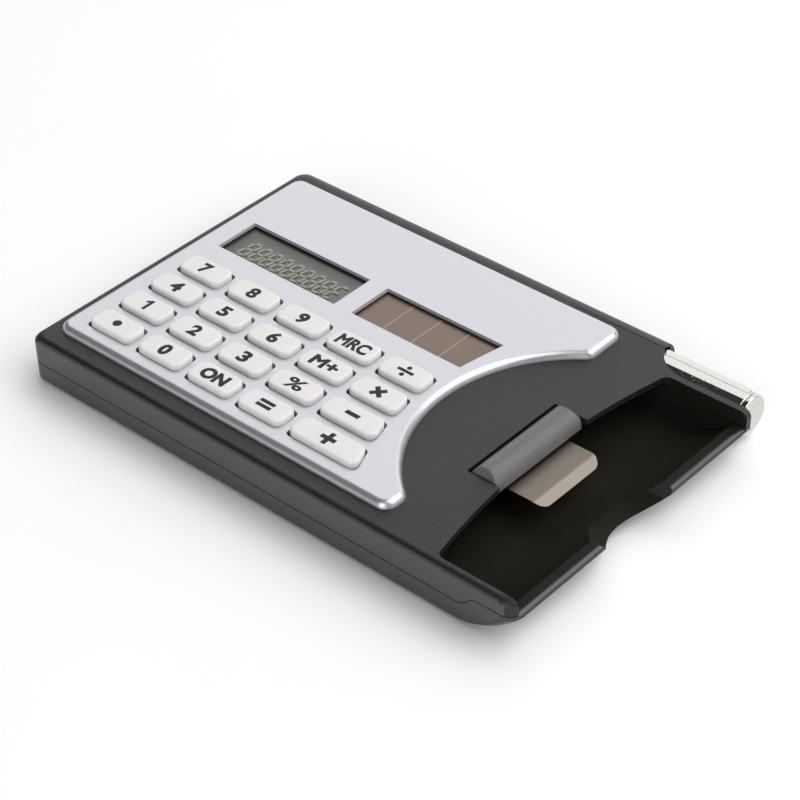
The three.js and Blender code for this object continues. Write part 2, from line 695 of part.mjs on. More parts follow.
/** Plan of a key, grown by a margin. The last column's right ends lean with the arc. */
function keyOutline(row, column, margin, corner) {
  const middleX = KEY_FIRST_X + column * KEY_PITCH_X;
  const middleY = KEY_FIRST_Y - row * KEY_PITCH_Y;
  const left = middleX - KEY_WIDTH / 2 - margin;
  const near = middleY - KEY_DEPTH / 2 - margin;
  const far = middleY + KEY_DEPTH / 2 + margin;
  const last = column === KEY_NAMES[0].length - 1;
  const right = middleX + KEY_WIDTH / 2 + margin;
  const nearRight = last ? keyRightEnd(middleY - KEY_DEPTH / 2) + margin : right;
  const farRight = last ? keyRightEnd(middleY + KEY_DEPTH / 2) + margin : right;
  const slope = Math.atan2(nearRight - farRight, far - near);
  const lean = THREE.MathUtils.radToDeg(slope);
  const nearSetback = corner * Math.tan(Math.PI / 4 + slope / 2);
  const farSetback = corner * Math.tan(Math.PI / 4 - slope / 2);
  return [
    ...arc(left + corner, near + corner, corner, 180, 270, 3),
    ...arc(nearRight - nearSetback, near + corner, corner, 270, 360 + lean, 3),
    ...arc(farRight - farSetback, far - corner, corner, lean, 90, 3),
    ...arc(left + corner, far - corner, corner, 90, 180, 3),
  ];
}

/** A key cap: a flange that is held under the faceplate, upright sides, and a rounded top edge. */
function keyCap(row, column) {
  const top = FACE + KEY_RISE;
  const rounding = [0, 30, 60, 90].map((a) => {
    const angle = THREE.MathUtils.degToRad(a);
    const inset = KEY_ROUND * (1 - Math.cos(angle));
    return {
      z: top - KEY_ROUND * (1 - Math.sin(angle)),
      outline: keyOutline(row, column, -inset, KEY_CORNER - inset),
    };
  });
  const cap = loft([{ z: FLANGE_TOP - 0.1, outline: keyOutline(row, column, 0, KEY_CORNER) }, ...rounding]);
  return add(prism(keyOutline(row, column, FLANGE, KEY_HOLE_CORNER), FLANGE_LOW, FLANGE_TOP), cap);
}

function keyMat() {
  const domes = keyPlaces().map(({ row, column }) => {
    const x = KEY_FIRST_X + column * KEY_PITCH_X;
    const y = KEY_FIRST_Y - row * KEY_PITCH_Y;
    const dome = new THREE.CylinderGeometry(DOME_RADIUS * 0.7, DOME_RADIUS, DOME_HEIGHT + 0.1, 10);
    return solidOf(dome.rotateX(Math.PI / 2).translate(x, y, MAT_TOP + (DOME_HEIGHT - 0.1) / 2));
  });
  const near = BOARD_NEAR + 0.3;
  const far = WINDOW_Y - GLASS_MARGIN - 0.5;
  const right = BOARD_LEFT + BOARD_LENGTH - 0.4;
  return add(box(BOARD_LEFT + 0.4, right, near, far, BOARD_TOP, MAT_TOP), ...domes);
}

// ---- Electronics ----

function circuitBoard() {
  const right = BOARD_LEFT + BOARD_LENGTH;
  return prism(roundedBox(BOARD_LEFT, right, BOARD_NEAR, BOARD_NEAR + BOARD_WIDTH, 1, 2), BOARD_LOW, BOARD_TOP);
}

function chipCover() {
  const profile = [
    new THREE.Vector2(0, 0),
    new THREE.Vector2(CHIP_RADIUS, 0),
    new THREE.Vector2(CHIP_RADIUS * 0.85, CHIP_HEIGHT * 0.7),
    new THREE.Vector2(0, CHIP_HEIGHT),
  ];
  const blob = new THREE.LatheGeometry(profile, 16);
  const x = BOARD_LEFT + BOARD_LENGTH * 0.45;
  const y = WINDOW_Y + 2;
  return solidOf(blob.rotateX(-Math.PI / 2).translate(x, y, BOARD_LOW));
}

/** Conductive rubber strip that carries the display's signals down to the board. */
function displayConnector() {
  const near = WINDOW_Y - GLASS_MARGIN + 0.2;
  return box(LCD_X + 1, LCD_X + LCD_WIDTH - 1, near, near + 1.4, BOARD_TOP, GLASS_LOW);
}

function solarContact(x) {
  const near = WINDOW_Y - GLASS_MARGIN + 0.3;
  return box(x, x + 1.2, near, near + 1.4, BOARD_TOP, GLASS_LOW);
}

function buttonCell() {
  const rim = 0.35;
  const profile = [
    new THREE.Vector2(0, 0),
    new THREE.Vector2(CELL_RADIUS - 0.9, 0),
    new THREE.Vector2(CELL_RADIUS - 0.9, rim),
    new THREE.Vector2(CELL_RADIUS, rim),
    new THREE.Vector2(CELL_RADIUS, CELL_HEIGHT),
    new THREE.Vector2(0, CELL_HEIGHT),
  ];
  const can = new THREE.LatheGeometry(profile, ROUND);
  // The lathe's axis is Y; this turn stands it on Z with its first profile point lowest.
  return solidOf(can.rotateX(Math.PI / 2).translate(CELL_X, CELL_Y, CELL_LOW));
}

/** The strip under the cell, with a tab that turns up to the board. */
function lowerContact() {
  const half = CONTACT_WIDTH / 2;
  const near = BOARD_NEAR + BOARD_WIDTH - 3;
  return add(
    box(CELL_X - half, CELL_X + half, near, CELL_Y + 2, DIVIDER_TOP, CELL_LOW),
    box(CELL_X - half, CELL_X + half, near, near + CONTACT_THICKNESS, DIVIDER_TOP, BOARD_LOW),
  );
}

/** The strip beside the cell: a foot on the board and a blade that touches the can. */
function sideContact() {
  const x = CELL_X - CELL_RADIUS - 0.25 - CONTACT_THICKNESS;
  const boardFar = BOARD_NEAR + BOARD_WIDTH;
  const top = UNDER_SKIN - 0.2;
  return add(
    box(x - 1.4, x + CONTACT_THICKNESS, boardFar - 2, boardFar - 0.2, BOARD_TOP, BOARD_TOP + CONTACT_THICKNESS),
    box(x, x + CONTACT_THICKNESS, boardFar - 2, CELL_Y + 1.5, BOARD_TOP, top),
  );
}

/** Inner cover between the electronics and the cards, with ribs for the board and rails for the slider. */
function divider() {
  const left = WALL + DIVIDER_GAP;
  const near = WALL + DIVIDER_GAP;
  const far = BAY_FAR - DIVIDER_GAP;
  const sheet = prism(roundedBox(left, DIVIDER_RIGHT, near, far, 1, 2), DIVIDER_LOW, DIVIDER_TOP);
  const ribs = [BOARD_LEFT + 1, BOARD_LEFT + BOARD_LENGTH - 2].map((x) =>
    box(x, x + 1, BOARD_NEAR + 1, BOARD_NEAR + BOARD_WIDTH - 1, DIVIDER_TOP - 0.1, BOARD_LOW),
  );
  const railLeft = TONGUE_LEFT + 1;
  const rails = [-1, 1].map((side) => {
    const inner = LEAF_CENTRE_Y + side * (LEAF_WIDTH / 2 + SLIDE_GAP);
    const outer = inner + side * RAIL_WIDTH;
    const low = Math.min(inner, outer);
    return box(railLeft, DIVIDER_RIGHT - 0.5, low, low + RAIL_WIDTH, DIVIDER_TOP - 0.1, TONGUE_TOP);
  });
  const seats = screwPlaces().flatMap(([x, y]) => [
    upright(x, y, SCREW_RADIUS + SCREW_CLEARANCE, DIVIDER_LOW - 1, DIVIDER_TOP + 1, 8),
    upright(x, y, SCREW_HEAD_RADIUS + SCREW_CLEARANCE, DIVIDER_LOW - 1, DIVIDER_LOW + SCREW_HEAD_HEIGHT + 0.05),
  ]);
  return cut(add(sheet, ...ribs, ...rails), ...seats);
}

/** A pan-head screw with a cross slot, standing head down. */
function screw([x, y]) {
  const low = DIVIDER_LOW;
  const headTop = low + SCREW_HEAD_HEIGHT;
  const slot = 0.25;
  return cut(
    add(
      upright(x, y, SCREW_HEAD_RADIUS, low, headTop),
      upright(x, y, SCREW_RADIUS, headTop - 0.1, low + SCREW_LENGTH, 8),
    ),
    box(x - 1, x + 1, y - slot, y + slot, low - 1, low + 0.15),
    box(x - slot, x + slot, y - 1, y + 1, low - 1, low + 0.15),
  );
}

// ---- Thumb slider ----

/** The half-round bar that the thumb pushes, and the tongue that guides it under the lid. */
function thumbBar() {
  const half = BAR_LENGTH / 2;
  const near = BAR_CENTRE_Y - half;
  const far = BAR_CENTRE_Y + half;
  const section = [
    new THREE.Vector2(BAR_LEFT, BAR_LOW),
    new THREE.Vector2(BAR_LEFT + 2 * BAR_RADIUS, BAR_LOW),
    ...arc(BAR_AXIS_X, BAR_AXIS_Z, BAR_RADIUS, 0, 180, 14),
  ];
  const bar = sideProfile(section, near, far);
  // Both ends are bevelled: the full section only lies between two slopes.
  const ends = new THREE.Shape([
    new THREE.Vector2(near, BAR_LOW - 1),
    new THREE.Vector2(far, BAR_LOW - 1),
    new THREE.Vector2(far, FACE - 2 * BAR_END_BEVEL),
    new THREE.Vector2(far - BAR_END_BEVEL, FACE + 0.01),
    new THREE.Vector2(near + BAR_END_BEVEL, FACE + 0.01),
    new THREE.Vector2(near, FACE - 2 * BAR_END_BEVEL),
  ]);
  const block = new THREE.ExtrudeGeometry(ends, { depth: 4 * BAR_RADIUS, bevelEnabled: false });
  const along = new THREE.Matrix4().set(0, 0, 1, BAR_LEFT - BAR_RADIUS, 1, 0, 0, 0, 0, 1, 0, 0, 0, 0, 0, 1);
  const limits = solidOf(block.applyMatrix4(along));
  const tongue = box(
    TONGUE_LEFT,
    BAR_LEFT + BAR_RADIUS,
    BAR_CENTRE_Y - TONGUE_WIDTH / 2,
    BAR_CENTRE_Y + TONGUE_WIDTH / 2,
    TONGUE_LOW,
    TONGUE_TOP,
  );
  return add(bar.intersect(limits), tongue);
}

/** Side view of the leaf's middle line: flat under the tongue and the bar, then a lip down to the cards. */
function leafPath() {
  const high = TONGUE_LOW - LEAF_THICKNESS / 2;
  const right = BAR_LEFT + 2 * BAR_RADIUS;
  const lowest = DIVIDER_LOW + LEAF_THICKNESS / 2 + 0.15;
  return [
    new THREE.Vector2(right - LEAF_HIDDEN, high),
    new THREE.Vector2(right + LEAF_FLAT, high),
    new THREE.Vector2(right + LEAF_FLAT + LEAF_LIP, lowest),
  ];
}

function leafSpring() {
  const path = leafPath();
  const half = LEAF_THICKNESS / 2;
  const upper = path.map((p) => new THREE.Vector2(p.x, p.y + half));
  const lower = path.map((p) => new THREE.Vector2(p.x, p.y - half));
  const strip = sideProfile(
    [...lower, ...upper.reverse()],
    LEAF_CENTRE_Y - LEAF_WIDTH / 2,
    LEAF_CENTRE_Y + LEAF_WIDTH / 2,
  );
  const plan = roundedBox(
    path[0].x - 5,
    path.at(-1).x,
    LEAF_CENTRE_Y - LEAF_WIDTH / 2,
    LEAF_CENTRE_Y + LEAF_WIDTH / 2,
    LEAF_CORNER,
  );
  return strip.intersect(prism(plan, 0, CASE_HEIGHT));
}

// ---- Pen ----

const BARREL_END = PEN_END - PEN_PLUG_LENGTH - PEN_RING_LENGTH;
const NOSE_TIP = PEN_END - PEN_LENGTH;
const NOSE_END = NOSE_TIP + PEN_NOSE_LENGTH;

function penBarrel() {
  return turned(
    [
      [NOSE_END, PEN_BORE],
      [NOSE_END, PEN_RADIUS],
      [BARREL_END - 0.3, PEN_RADIUS],
      [BARREL_END, PEN_RADIUS - 0.3],
      [BARREL_END, PEN_BORE],
      [NOSE_END, PEN_BORE],
    ],
    PEN_Y,
    PEN_Z,
  );
}

function penNose() {
  return turned(
    [
      [NOSE_END, PEN_RADIUS],
      [NOSE_END, REFILL_RADIUS + 0.3],
      [NOSE_TIP + 4, REFILL_RADIUS + 0.3],
      [NOSE_TIP + 3, PEN_TIP_BORE],
      [NOSE_TIP, PEN_TIP_BORE],
      [NOSE_TIP, PEN_TIP_RADIUS],
      [NOSE_TIP + 5, PEN_RADIUS * 0.75],
      [NOSE_END, PEN_RADIUS],
    ],
    PEN_Y,
    PEN_Z,
  );
}

function penRefill() {
  return turned(
    [
      [NOSE_TIP - REFILL_PROUD, 0],
      [NOSE_TIP - REFILL_PROUD + 0.5, REFILL_TIP_RADIUS * 0.5],
      [NOSE_TIP, REFILL_TIP_RADIUS],
      [NOSE_TIP + 3.6, REFILL_TIP_RADIUS],
      [NOSE_TIP + 4.6, REFILL_RADIUS],
      [BARREL_END - 8, REFILL_RADIUS],
      [BARREL_END - 8, 0],
    ],
    PEN_Y,
    PEN_Z,
    12,
  );
}

function penRing() {
  const bore = PEN_BORE - 0.3;
  return turned(
    [
      [BARREL_END, bore],
      [BARREL_END, PEN_RADIUS + 0.05],
      [BARREL_END + PEN_RING_LENGTH, PEN_RADIUS + 0.05],
      [BARREL_END + PEN_RING_LENGTH, bore],
      [BARREL_END, bore],
    ],
    PEN_Y,
    PEN_Z,
  );
}

/** End plug: a flat disc, and a stem that presses into the barrel and reaches the refill. */
function penPlug() {
  const disc = BARREL_END + PEN_RING_LENGTH;
  const stem = PEN_BORE - 0.6;
  return turned(
    [
      [BARREL_END - 7.7, 0],
      [BARREL_END - 7.7, stem],
      [disc, stem],
      [disc, PEN_PLUG_RADIUS],
      [PEN_END - 0.2, PEN_PLUG_RADIUS],
      [PEN_END, PEN_PLUG_RADIUS - 0.2],
      [PEN_END, 0],
    ],
    PEN_Y,
    PEN_Z,
  );
}

/** A spring clip: a strip that lies close to the barrel, with a foot on it near the end. */
function penClip() {
  const right = BARREL_END - 0.6;
  const left = right - CLIP_LENGTH;
  const inner = PEN_RADIUS + CLIP_GAP;
  const outer = inner + CLIP_THICKNESS;
  return add(
    clipBlock(left, right, inner, outer, CLIP_WIDTH),
    clipBlock(right - 3, right, PEN_RADIUS + 0.04, inner + 0.1, CLIP_WIDTH),
  );
}

// ---- Assembly ----

const calculator = new THREE.Group();
const outside = caseOutside();

calculator.add(
  piece("top_shell", topShell(outside), BLACK_ABS),
  piece("bottom_shell", bottomShell(outside), BLACK_ABS),
  piece("faceplate", faceplate(), SILVER_PAINT),
  piece("key_mat", keyMat(), SILICONE_GREY),
  piece("circuit_board", circuitBoard(), BOARD_GREEN),
  piece("chip_cover", chipCover(), EPOXY_BLACK),
  piece("display", prism(lcdOutline(GLASS_MARGIN), GLASS_LOW, GLASS_TOP), GLASS_GREY),
  piece("display_connector", displayConnector(), CONNECTOR_PINK),
  piece("solar_cell", prism(solarOutline(GLASS_MARGIN), GLASS_LOW, GLASS_TOP), SOLAR_BROWN),
  piece("solar_contact_left", solarContact(SOLAR_X + 1), NICKEL),
  piece("solar_contact_right", solarContact(SOLAR_X + SOLAR_WIDTH - 3), NICKEL),
  piece("button_cell", buttonCell(), NICKEL),
  piece("cell_contact_lower", lowerContact(), NICKEL),
  piece("cell_contact_side", sideContact(), NICKEL),
  piece("divider", divider(), BLACK_ABS),
  piece("thumb_bar", thumbBar(), BAR_GREY),
  piece("leaf_spring", leafSpring(), STAINLESS),
  piece("pen_barrel", penBarrel(), CHROME),
  piece("pen_nose", penNose(), CHROME),
  piece("pen_refill", penRefill(), INK_TUBE),
  piece("pen_ring", penRing(), BRASS),
  piece("pen_plug", penPlug(), CHROME),
  piece("pen_clip", penClip(), CHROME),
);
for (const { name, row, column } of keyPlaces()) calculator.add(piece(name, keyCap(row, column), KEY_WHITE));
screwPlaces().forEach((place, i) => calculator.add(piece(`screw_${i + 1}`, screw(place), SCREW_STEEL)));

calculator.position.set(-CASE_LENGTH / 2, -CASE_WIDTH / 2, 0);

export default calculator;
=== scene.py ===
# %% [markdown]
# # A pocket calculator in the lid of a card case
#
# The object is a thin black case with two jobs. Its lid is a solar calculator: a silver faceplate, twenty white
# keys, a small display and a strip of solar cells. Under the lid, a bay holds business cards, and a grey bar with
# a steel leaf pushes the top card out. A chrome pen lies in a channel along the far side.
#
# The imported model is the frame: it says where each piece is and how it moves. This lesson only adds the looks.
# Lengths are in metres, +Z is up, and the origin is the middle of the case's footprint, on the table.

# %% Load the frame
import math

import bmesh
import bpy
import numpy as np
from mathutils import Euler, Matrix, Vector


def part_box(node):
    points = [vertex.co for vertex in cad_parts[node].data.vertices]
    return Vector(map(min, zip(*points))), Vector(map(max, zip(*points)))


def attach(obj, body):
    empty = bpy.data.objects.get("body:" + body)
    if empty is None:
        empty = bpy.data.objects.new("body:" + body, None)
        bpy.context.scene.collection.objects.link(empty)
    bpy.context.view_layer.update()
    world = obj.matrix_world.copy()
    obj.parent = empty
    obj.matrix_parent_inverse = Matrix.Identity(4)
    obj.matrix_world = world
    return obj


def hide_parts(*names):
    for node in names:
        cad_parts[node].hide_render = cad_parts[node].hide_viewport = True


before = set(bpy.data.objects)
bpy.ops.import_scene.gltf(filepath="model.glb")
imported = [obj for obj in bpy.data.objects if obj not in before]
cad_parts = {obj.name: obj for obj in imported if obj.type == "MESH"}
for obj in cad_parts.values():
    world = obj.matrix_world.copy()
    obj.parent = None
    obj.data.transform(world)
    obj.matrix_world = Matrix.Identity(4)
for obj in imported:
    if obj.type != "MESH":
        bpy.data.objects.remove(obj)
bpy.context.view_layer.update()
MM = 0.001

# %% [markdown]
# ## Heights and edges that the pieces share
#
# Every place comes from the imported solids, so a change there moves the looks with it. A solid's box gives its
# lowest and its highest corner.

# %% Measure the frame
case_low, case_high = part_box("bottom_shell")
_, key_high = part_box("key_5")
plate_low, plate_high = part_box("faceplate")
FACE = plate_high.z
KEY_TOP = key_high.z
print("face at", round(FACE / MM, 2), "mm, key tops at", round(KEY_TOP / MM, 2), "mm")

# %% [markdown]
# ## Camera
#
# The view is a product view: from the front right, about 38 degrees above the table, with a long lens so that
# parallel edges nearly stay parallel. A long lens also keeps the near keys and the far keys the same size.

# %% Place the camera
camera_data = bpy.data.cameras.new("camera")
camera_data.lens = 107.3
camera_data.sensor_width = 36.0
camera_data.clip_start = 0.01
camera = bpy.data.objects.new("camera", camera_data)
camera.location = (0.21657, -0.23875, 0.2506)
camera.rotation_euler = Euler([math.radians(a) for a in (52.191, 1.146, 41.311)])
bpy.context.scene.collection.objects.link(camera)
bpy.context.scene.camera = camera
bpy.context.scene.view_settings.view_transform = "Standard"
print("camera at", [round(v, 3) for v in camera.location])

# %% [markdown]
# ## Helpers for nodes
#
# The surroundings and all the finishes are built from nodes. Colours are written as the hex values that a painter
# would read off a swatch. Blender works in linear light, so one function turns one into the other. A second one
# adds a node, sets it and links it both ways. Real finishes vary in tone and in gloss together, so a third one
# drives both from one noise.

# %% Colour
def linear(swatch):
    """sRGB hex to linear RGBA: below 0.04045 divide by 12.92, above it ((c + 0.055) / 1.055) to the 2.4."""
    channels = np.array([int(swatch[i : i + 2], 16) for i in (1, 3, 5)]) / 255
    low = channels / 12.92
    high = ((channels + 0.055) / 1.055) ** 2.4
    return (*np.where(channels <= 0.04045, low, high), 1.0)


print("hex #808080 is", round(linear("#808080")[0], 3), "in linear light")


# %% Nodes
def add(tree, kind, inputs=None, into=None, **settings):
    """A node of a kind in a tree. An input takes a plain value, a socket, or a node, whose first output in use is
    linked. into is the (node, socket name) that this node's own first output goes to."""
    made = tree.nodes.new(kind)
    for name, value in settings.items():
        setattr(made, name, value)
    for name, value in (inputs or {}).items():
        if isinstance(value, bpy.types.Node):
            value = next(output for output in value.outputs if output.enabled)
        if isinstance(value, bpy.types.NodeSocket):
            tree.links.new(value, made.inputs[name])
        else:
            made.inputs[name].default_value = value
    if into:
        tree.links.new(next(output for output in made.outputs if output.enabled), into[0].inputs[into[1]])
    return made


def start(name, **shader):
    """A new material: its tree, its shader with plain values set, and the object's own coordinates."""
    made = bpy.data.materials.new(name)
    made.use_nodes = True
    tree = made.node_tree
    surface = tree.nodes["Principled BSDF"]
    for socket, value in shader.items():
        surface.inputs[socket.replace("_", " ")].default_value = value
    place = add(tree, "ShaderNodeTexCoord").outputs["Object"]
    return made, tree, surface, place


def per(length_mm):
    """A noise scale with about one grain per that many millimetres."""
    return 1.0 / (length_mm * MM)


# Noise lies mostly between these two values, so a range that runs over them uses its whole span.
SPREAD = {"From Min": 0.3, "From Max": 0.7}


def vary(tree, surface, noise, first, second, gloss_low, gloss_high):
    """Tone and roughness from one noise: the tone goes from the first hex to the second as the noise goes from 0
    to 1, and the roughness from low to high over the noise's spread."""
    tones = {"Factor": noise, "A": linear(first), "B": linear(second)}
    add(tree, "ShaderNodeMix", tones, (surface, "Base Color"), data_type="RGBA")
    gloss = {"Value": noise, "To Min": gloss_low, "To Max": gloss_high, **SPREAD}
    add(tree, "ShaderNodeMapRange", gloss, (surface, "Roughness"))


print("0.4 mm grains need a scale of", round(per(0.4)))

# %% [markdown]
# ## Floor and light
#
# Dark glossy plastic is lit by what it reflects. A very large, weak panel behind is what the flat faces mirror, so
# they get an even sheen. A stronger panel from the right lights the floor and the keys, and nothing flat mirrors
# it but the leaf's lip. A weak one in front lifts the keys' near sides. The surroundings are pale at the horizon,
# like a paper backdrop, and nearly black overhead, so chrome shows a dark side and the card bay stays dark.

# %% Lights
def panel(name, place, size, power):
    """A square area light at a place, turned to face the middle of the case. Size in metres, power in watts."""
    data = bpy.data.lights.new(name, "AREA")
    data.size = size
    data.energy = power
    light = bpy.data.objects.new(name, data)
    light.location = place
    light.rotation_euler = (-Vector(place)).to_track_quat("-Z", "Y").to_euler()
    bpy.context.scene.collection.objects.link(light)


panel("panel_behind", (-0.65, 1.15, 1.0), 2.1, 17.5)
panel("panel_right", (0.85, 0.5, 1.15), 1.8, 26.0)
panel("panel_front", (0.3, -1.2, 0.5), 1.0, 7.5)
print("three panels")

# %% Surroundings
HORIZON, OVERHEAD = 0.85, 0.05  # strengths of the backdrop's light

world = bpy.data.worlds.new("surroundings")
world.use_nodes = True
room = world.node_tree
room.nodes["Background"].inputs["Color"].default_value = (1.0, 1.0, 1.0, 1.0)
# In a world, Object coordinates are the direction: Z is 0 at the horizon and 1 overhead. The fade runs from about
# 3 to 15 degrees above the horizon.
direction = add(room, "ShaderNodeTexCoord").outputs["Object"]
height = add(room, "ShaderNodeSeparateXYZ", {"Vector": direction}).outputs["Z"]
fade = {"Value": height, "From Min": 0.06, "From Max": 0.26, "To Min": HORIZON, "To Max": OVERHEAD}
add(room, "ShaderNodeMapRange", fade, (room.nodes["Background"], "Strength"), interpolation_type="SMOOTHSTEP")
bpy.context.scene.world = world
print("backdrop from", HORIZON, "down to", OVERHEAD)

# %% Floor
reach = 6.0  # metres from the middle to each side
floor_mesh = bpy.data.meshes.new("floor")
floor_mesh.from_pydata(
    [(-reach, -reach, 0), (reach, -reach, 0), (reach, reach, 0), (-reach, reach, 0)], [], [(0, 1, 2, 3)]
)
floor = bpy.data.objects.new("floor", floor_mesh)
# A hair below the case, so that the two do not share a plane.
floor.location.z = -0.0002
bpy.context.scene.collection.objects.link(floor)
print("a floor", 2 * reach, "m wide")

# %% [markdown]
# ## Black ABS
#
# The case is injection-moulded ABS. The mould's outside was spark-eroded, which leaves the plastic with a fine
# pebbled grain that scatters light. The real grain is near 0.1 mm, too fine to show, so it is drawn at 0.4 mm.
# Over it lies a slight unevenness of a few millimetres, where the plastic shrank.

# %% Black ABS, grained
ABS_IOR = 1.53


def black_abs():
    """Tone follows the slow noise, and roughness the pebbles. The relief is the slow bump with the pebbles on it."""
    made, tree, surface, place = start("abs_spark_eroded_black", IOR=ABS_IOR, Specular_IOR_Level=0.42)
    pebbles = add(tree, "ShaderNodeTexNoise", {"Vector": place, "Scale": per(0.4), "Detail": 3.0})
    sinks = add(tree, "ShaderNodeTexNoise", {"Vector": place, "Scale": per(5.0), "Detail": 2.0})
    tones = {"Factor": sinks, "A": linear("#171617"), "B": linear("#1c1b1c")}
    add(tree, "ShaderNodeMix", tones, (surface, "Base Color"), data_type="RGBA")
    gloss = {"Value": pebbles, "To Min": 0.4, "To Max": 0.52, **SPREAD}
    add(tree, "ShaderNodeMapRange", gloss, (surface, "Roughness"))
    slow = add(tree, "ShaderNodeBump", {"Height": sinks, "Distance": 0.05 * MM, "Strength": 0.35})
    relief = {"Height": pebbles, "Distance": 0.05 * MM, "Strength": 0.7, "Normal": slow}
    add(tree, "ShaderNodeBump", relief, (surface, "Normal"))
    return made


ABS = black_abs()
print("finish", ABS.name)

# %% [markdown]
# ## The same plastic, smoother
#
# The card bay and the low end wall come from a polished part of the mould. Smooth black plastic reflects little
# from above, so the bay looks almost black, but at a grazing view its outer edge mirrors the pale table. The side
# walls have a light grain, because a deep one would not slide out of the mould, so they mirror the table too.

# %% Black ABS, polished
def polished_abs(name, first, second, gloss_low, gloss_high, shine):
    """Polished plastic: two tones, a range of roughness, and how strongly it reflects face on. One noise, the
    marks of handling, drives tone and roughness; a finer one gives shallow scratches."""
    made, tree, surface, place = start(name, IOR=ABS_IOR, Specular_IOR_Level=shine)
    handling = add(tree, "ShaderNodeTexNoise", {"Vector": place, "Scale": per(4.0), "Detail": 4.0})
    scratches = add(tree, "ShaderNodeTexNoise", {"Vector": place, "Scale": per(0.6), "Detail": 2.0})
    vary(tree, surface, handling, first, second, gloss_low, gloss_high)
    add(tree, "ShaderNodeBump", {"Height": scratches, "Distance": 0.004 * MM, "Strength": 0.3}, (surface, "Normal"))
    return made


ABS_BAY = polished_abs("abs_polished_bay", "#1d1b17", "#22201c", 0.5, 0.58, 0.06)
ABS_SIDE = polished_abs("abs_light_grain_side", "#2a2829", "#302e2f", 0.36, 0.46, 0.8)
ABS_EDGE = polished_abs("abs_polished_edge", "#2b2a2a", "#323131", 0.16, 0.24, 0.5)
print("finishes", ABS_BAY.name, ABS_SIDE.name, ABS_EDGE.name)

# %% [markdown]
# ## Silver paint
#
# The faceplate is moulded plastic with a metallic paint: small aluminium flakes in clear lacquer. It is part
# metal to the eye, with a soft sheen and a slight sparkle. The flakes are far smaller than can show, so the noise
# only varies the roughness and the tone a little, at 0.5 mm.

# %% Silver paint
def silver_paint():
    """Tone and roughness follow the flakes, and the relief is the paint's orange peel."""
    made, tree, surface, place = start(
        "metallic_lacquer_silver", Metallic=0.75, IOR=1.5, Coat_Weight=0.2, Coat_Roughness=0.15
    )
    flakes = add(tree, "ShaderNodeTexNoise", {"Vector": place, "Scale": per(0.5), "Detail": 3.0})
    orange_peel = add(tree, "ShaderNodeTexNoise", {"Vector": place, "Scale": per(1.6), "Detail": 1.0})
    vary(tree, surface, flakes, "#c2c2c8", "#c8c8ce", 0.3, 0.36)
    relief = {"Height": orange_peel, "Distance": 0.004 * MM, "Strength": 0.2}
    add(tree, "ShaderNodeBump", relief, (surface, "Normal"))
    return made


SILVER = silver_paint()
print("finish", SILVER.name)

# %% [markdown]
# ## Key plastic and its printed figures
#
# The caps are white ABS with a satin top, so each shows a soft highlight. Their figures are pad-printed: a thin,
# flat layer of black ink, duller than the cap.

# %% White caps and ink
def key_white():
    """Tone and roughness follow the wear, and a fine satin noise gives the relief."""
    made, tree, surface, place = start("abs_satin_white", IOR=ABS_IOR)
    wear = add(tree, "ShaderNodeTexNoise", {"Vector": place, "Scale": per(3.0), "Detail": 3.0})
    satin = add(tree, "ShaderNodeTexNoise", {"Vector": place, "Scale": per(0.4), "Detail": 2.0})
    vary(tree, surface, wear, "#dcd9d8", "#e3e0df", 0.32, 0.42)
    add(tree, "ShaderNodeBump", {"Height": satin, "Distance": 0.006 * MM, "Strength": 0.4}, (surface, "Normal"))
    return made


def printing_ink():
    """Tone and roughness follow how well the pad covered."""
    made, tree, surface, place = start("pad_print_ink_black", IOR=1.5, Specular_IOR_Level=0.3)
    cover = add(tree, "ShaderNodeTexNoise", {"Vector": place, "Scale": per(0.3), "Detail": 2.0})
    vary(tree, surface, cover, "#141313", "#1e1d1d", 0.45, 0.58)
    return made


KEY_WHITE = key_white()
INK = printing_ink()
print("finishes", KEY_WHITE.name, INK.name)

# %% [markdown]
# ## Metals
#
# The pen is chrome plated: nearly a mirror, with specks of dust on it. The slider's leaf is stainless strip. Its
# rolling marks run across the bay, so the noise is stretched that way. The pen's thin ring is polished brass.

# %% Chrome
def chrome():
    """Dust is the top of a fine noise. It dulls the metal, its tone and its gloss; a slow noise bends the mirror."""
    made, tree, surface, place = start("chrome_plate", Metallic=1.0)
    specks = add(tree, "ShaderNodeTexNoise", {"Vector": place, "Scale": per(0.4), "Detail": 1.0})
    dust = {"Value": specks, "From Min": 0.67, "From Max": 0.73, "To Min": 0.0, "To Max": 1.0}
    dust = add(tree, "ShaderNodeMapRange", dust)
    add(tree, "ShaderNodeMapRange", {"Value": dust, "To Min": 1.0, "To Max": 0.5}, (surface, "Metallic"))
    tones = {"Factor": dust, "A": linear("#d0cecb"), "B": linear("#b4b1ac")}
    add(tree, "ShaderNodeMix", tones, (surface, "Base Color"), data_type="RGBA")
    gloss = {"Value": dust, "To Min": 0.06, "To Max": 0.5}
    add(tree, "ShaderNodeMapRange", gloss, (surface, "Roughness"))
    waves = add(tree, "ShaderNodeTexNoise", {"Vector": place, "Scale": per(6.0), "Detail": 1.0})
    add(tree, "ShaderNodeBump", {"Height": waves, "Distance": 0.004 * MM, "Strength": 0.3}, (surface, "Normal"))
    return made


CHROME = chrome()
print("finish", CHROME.name)

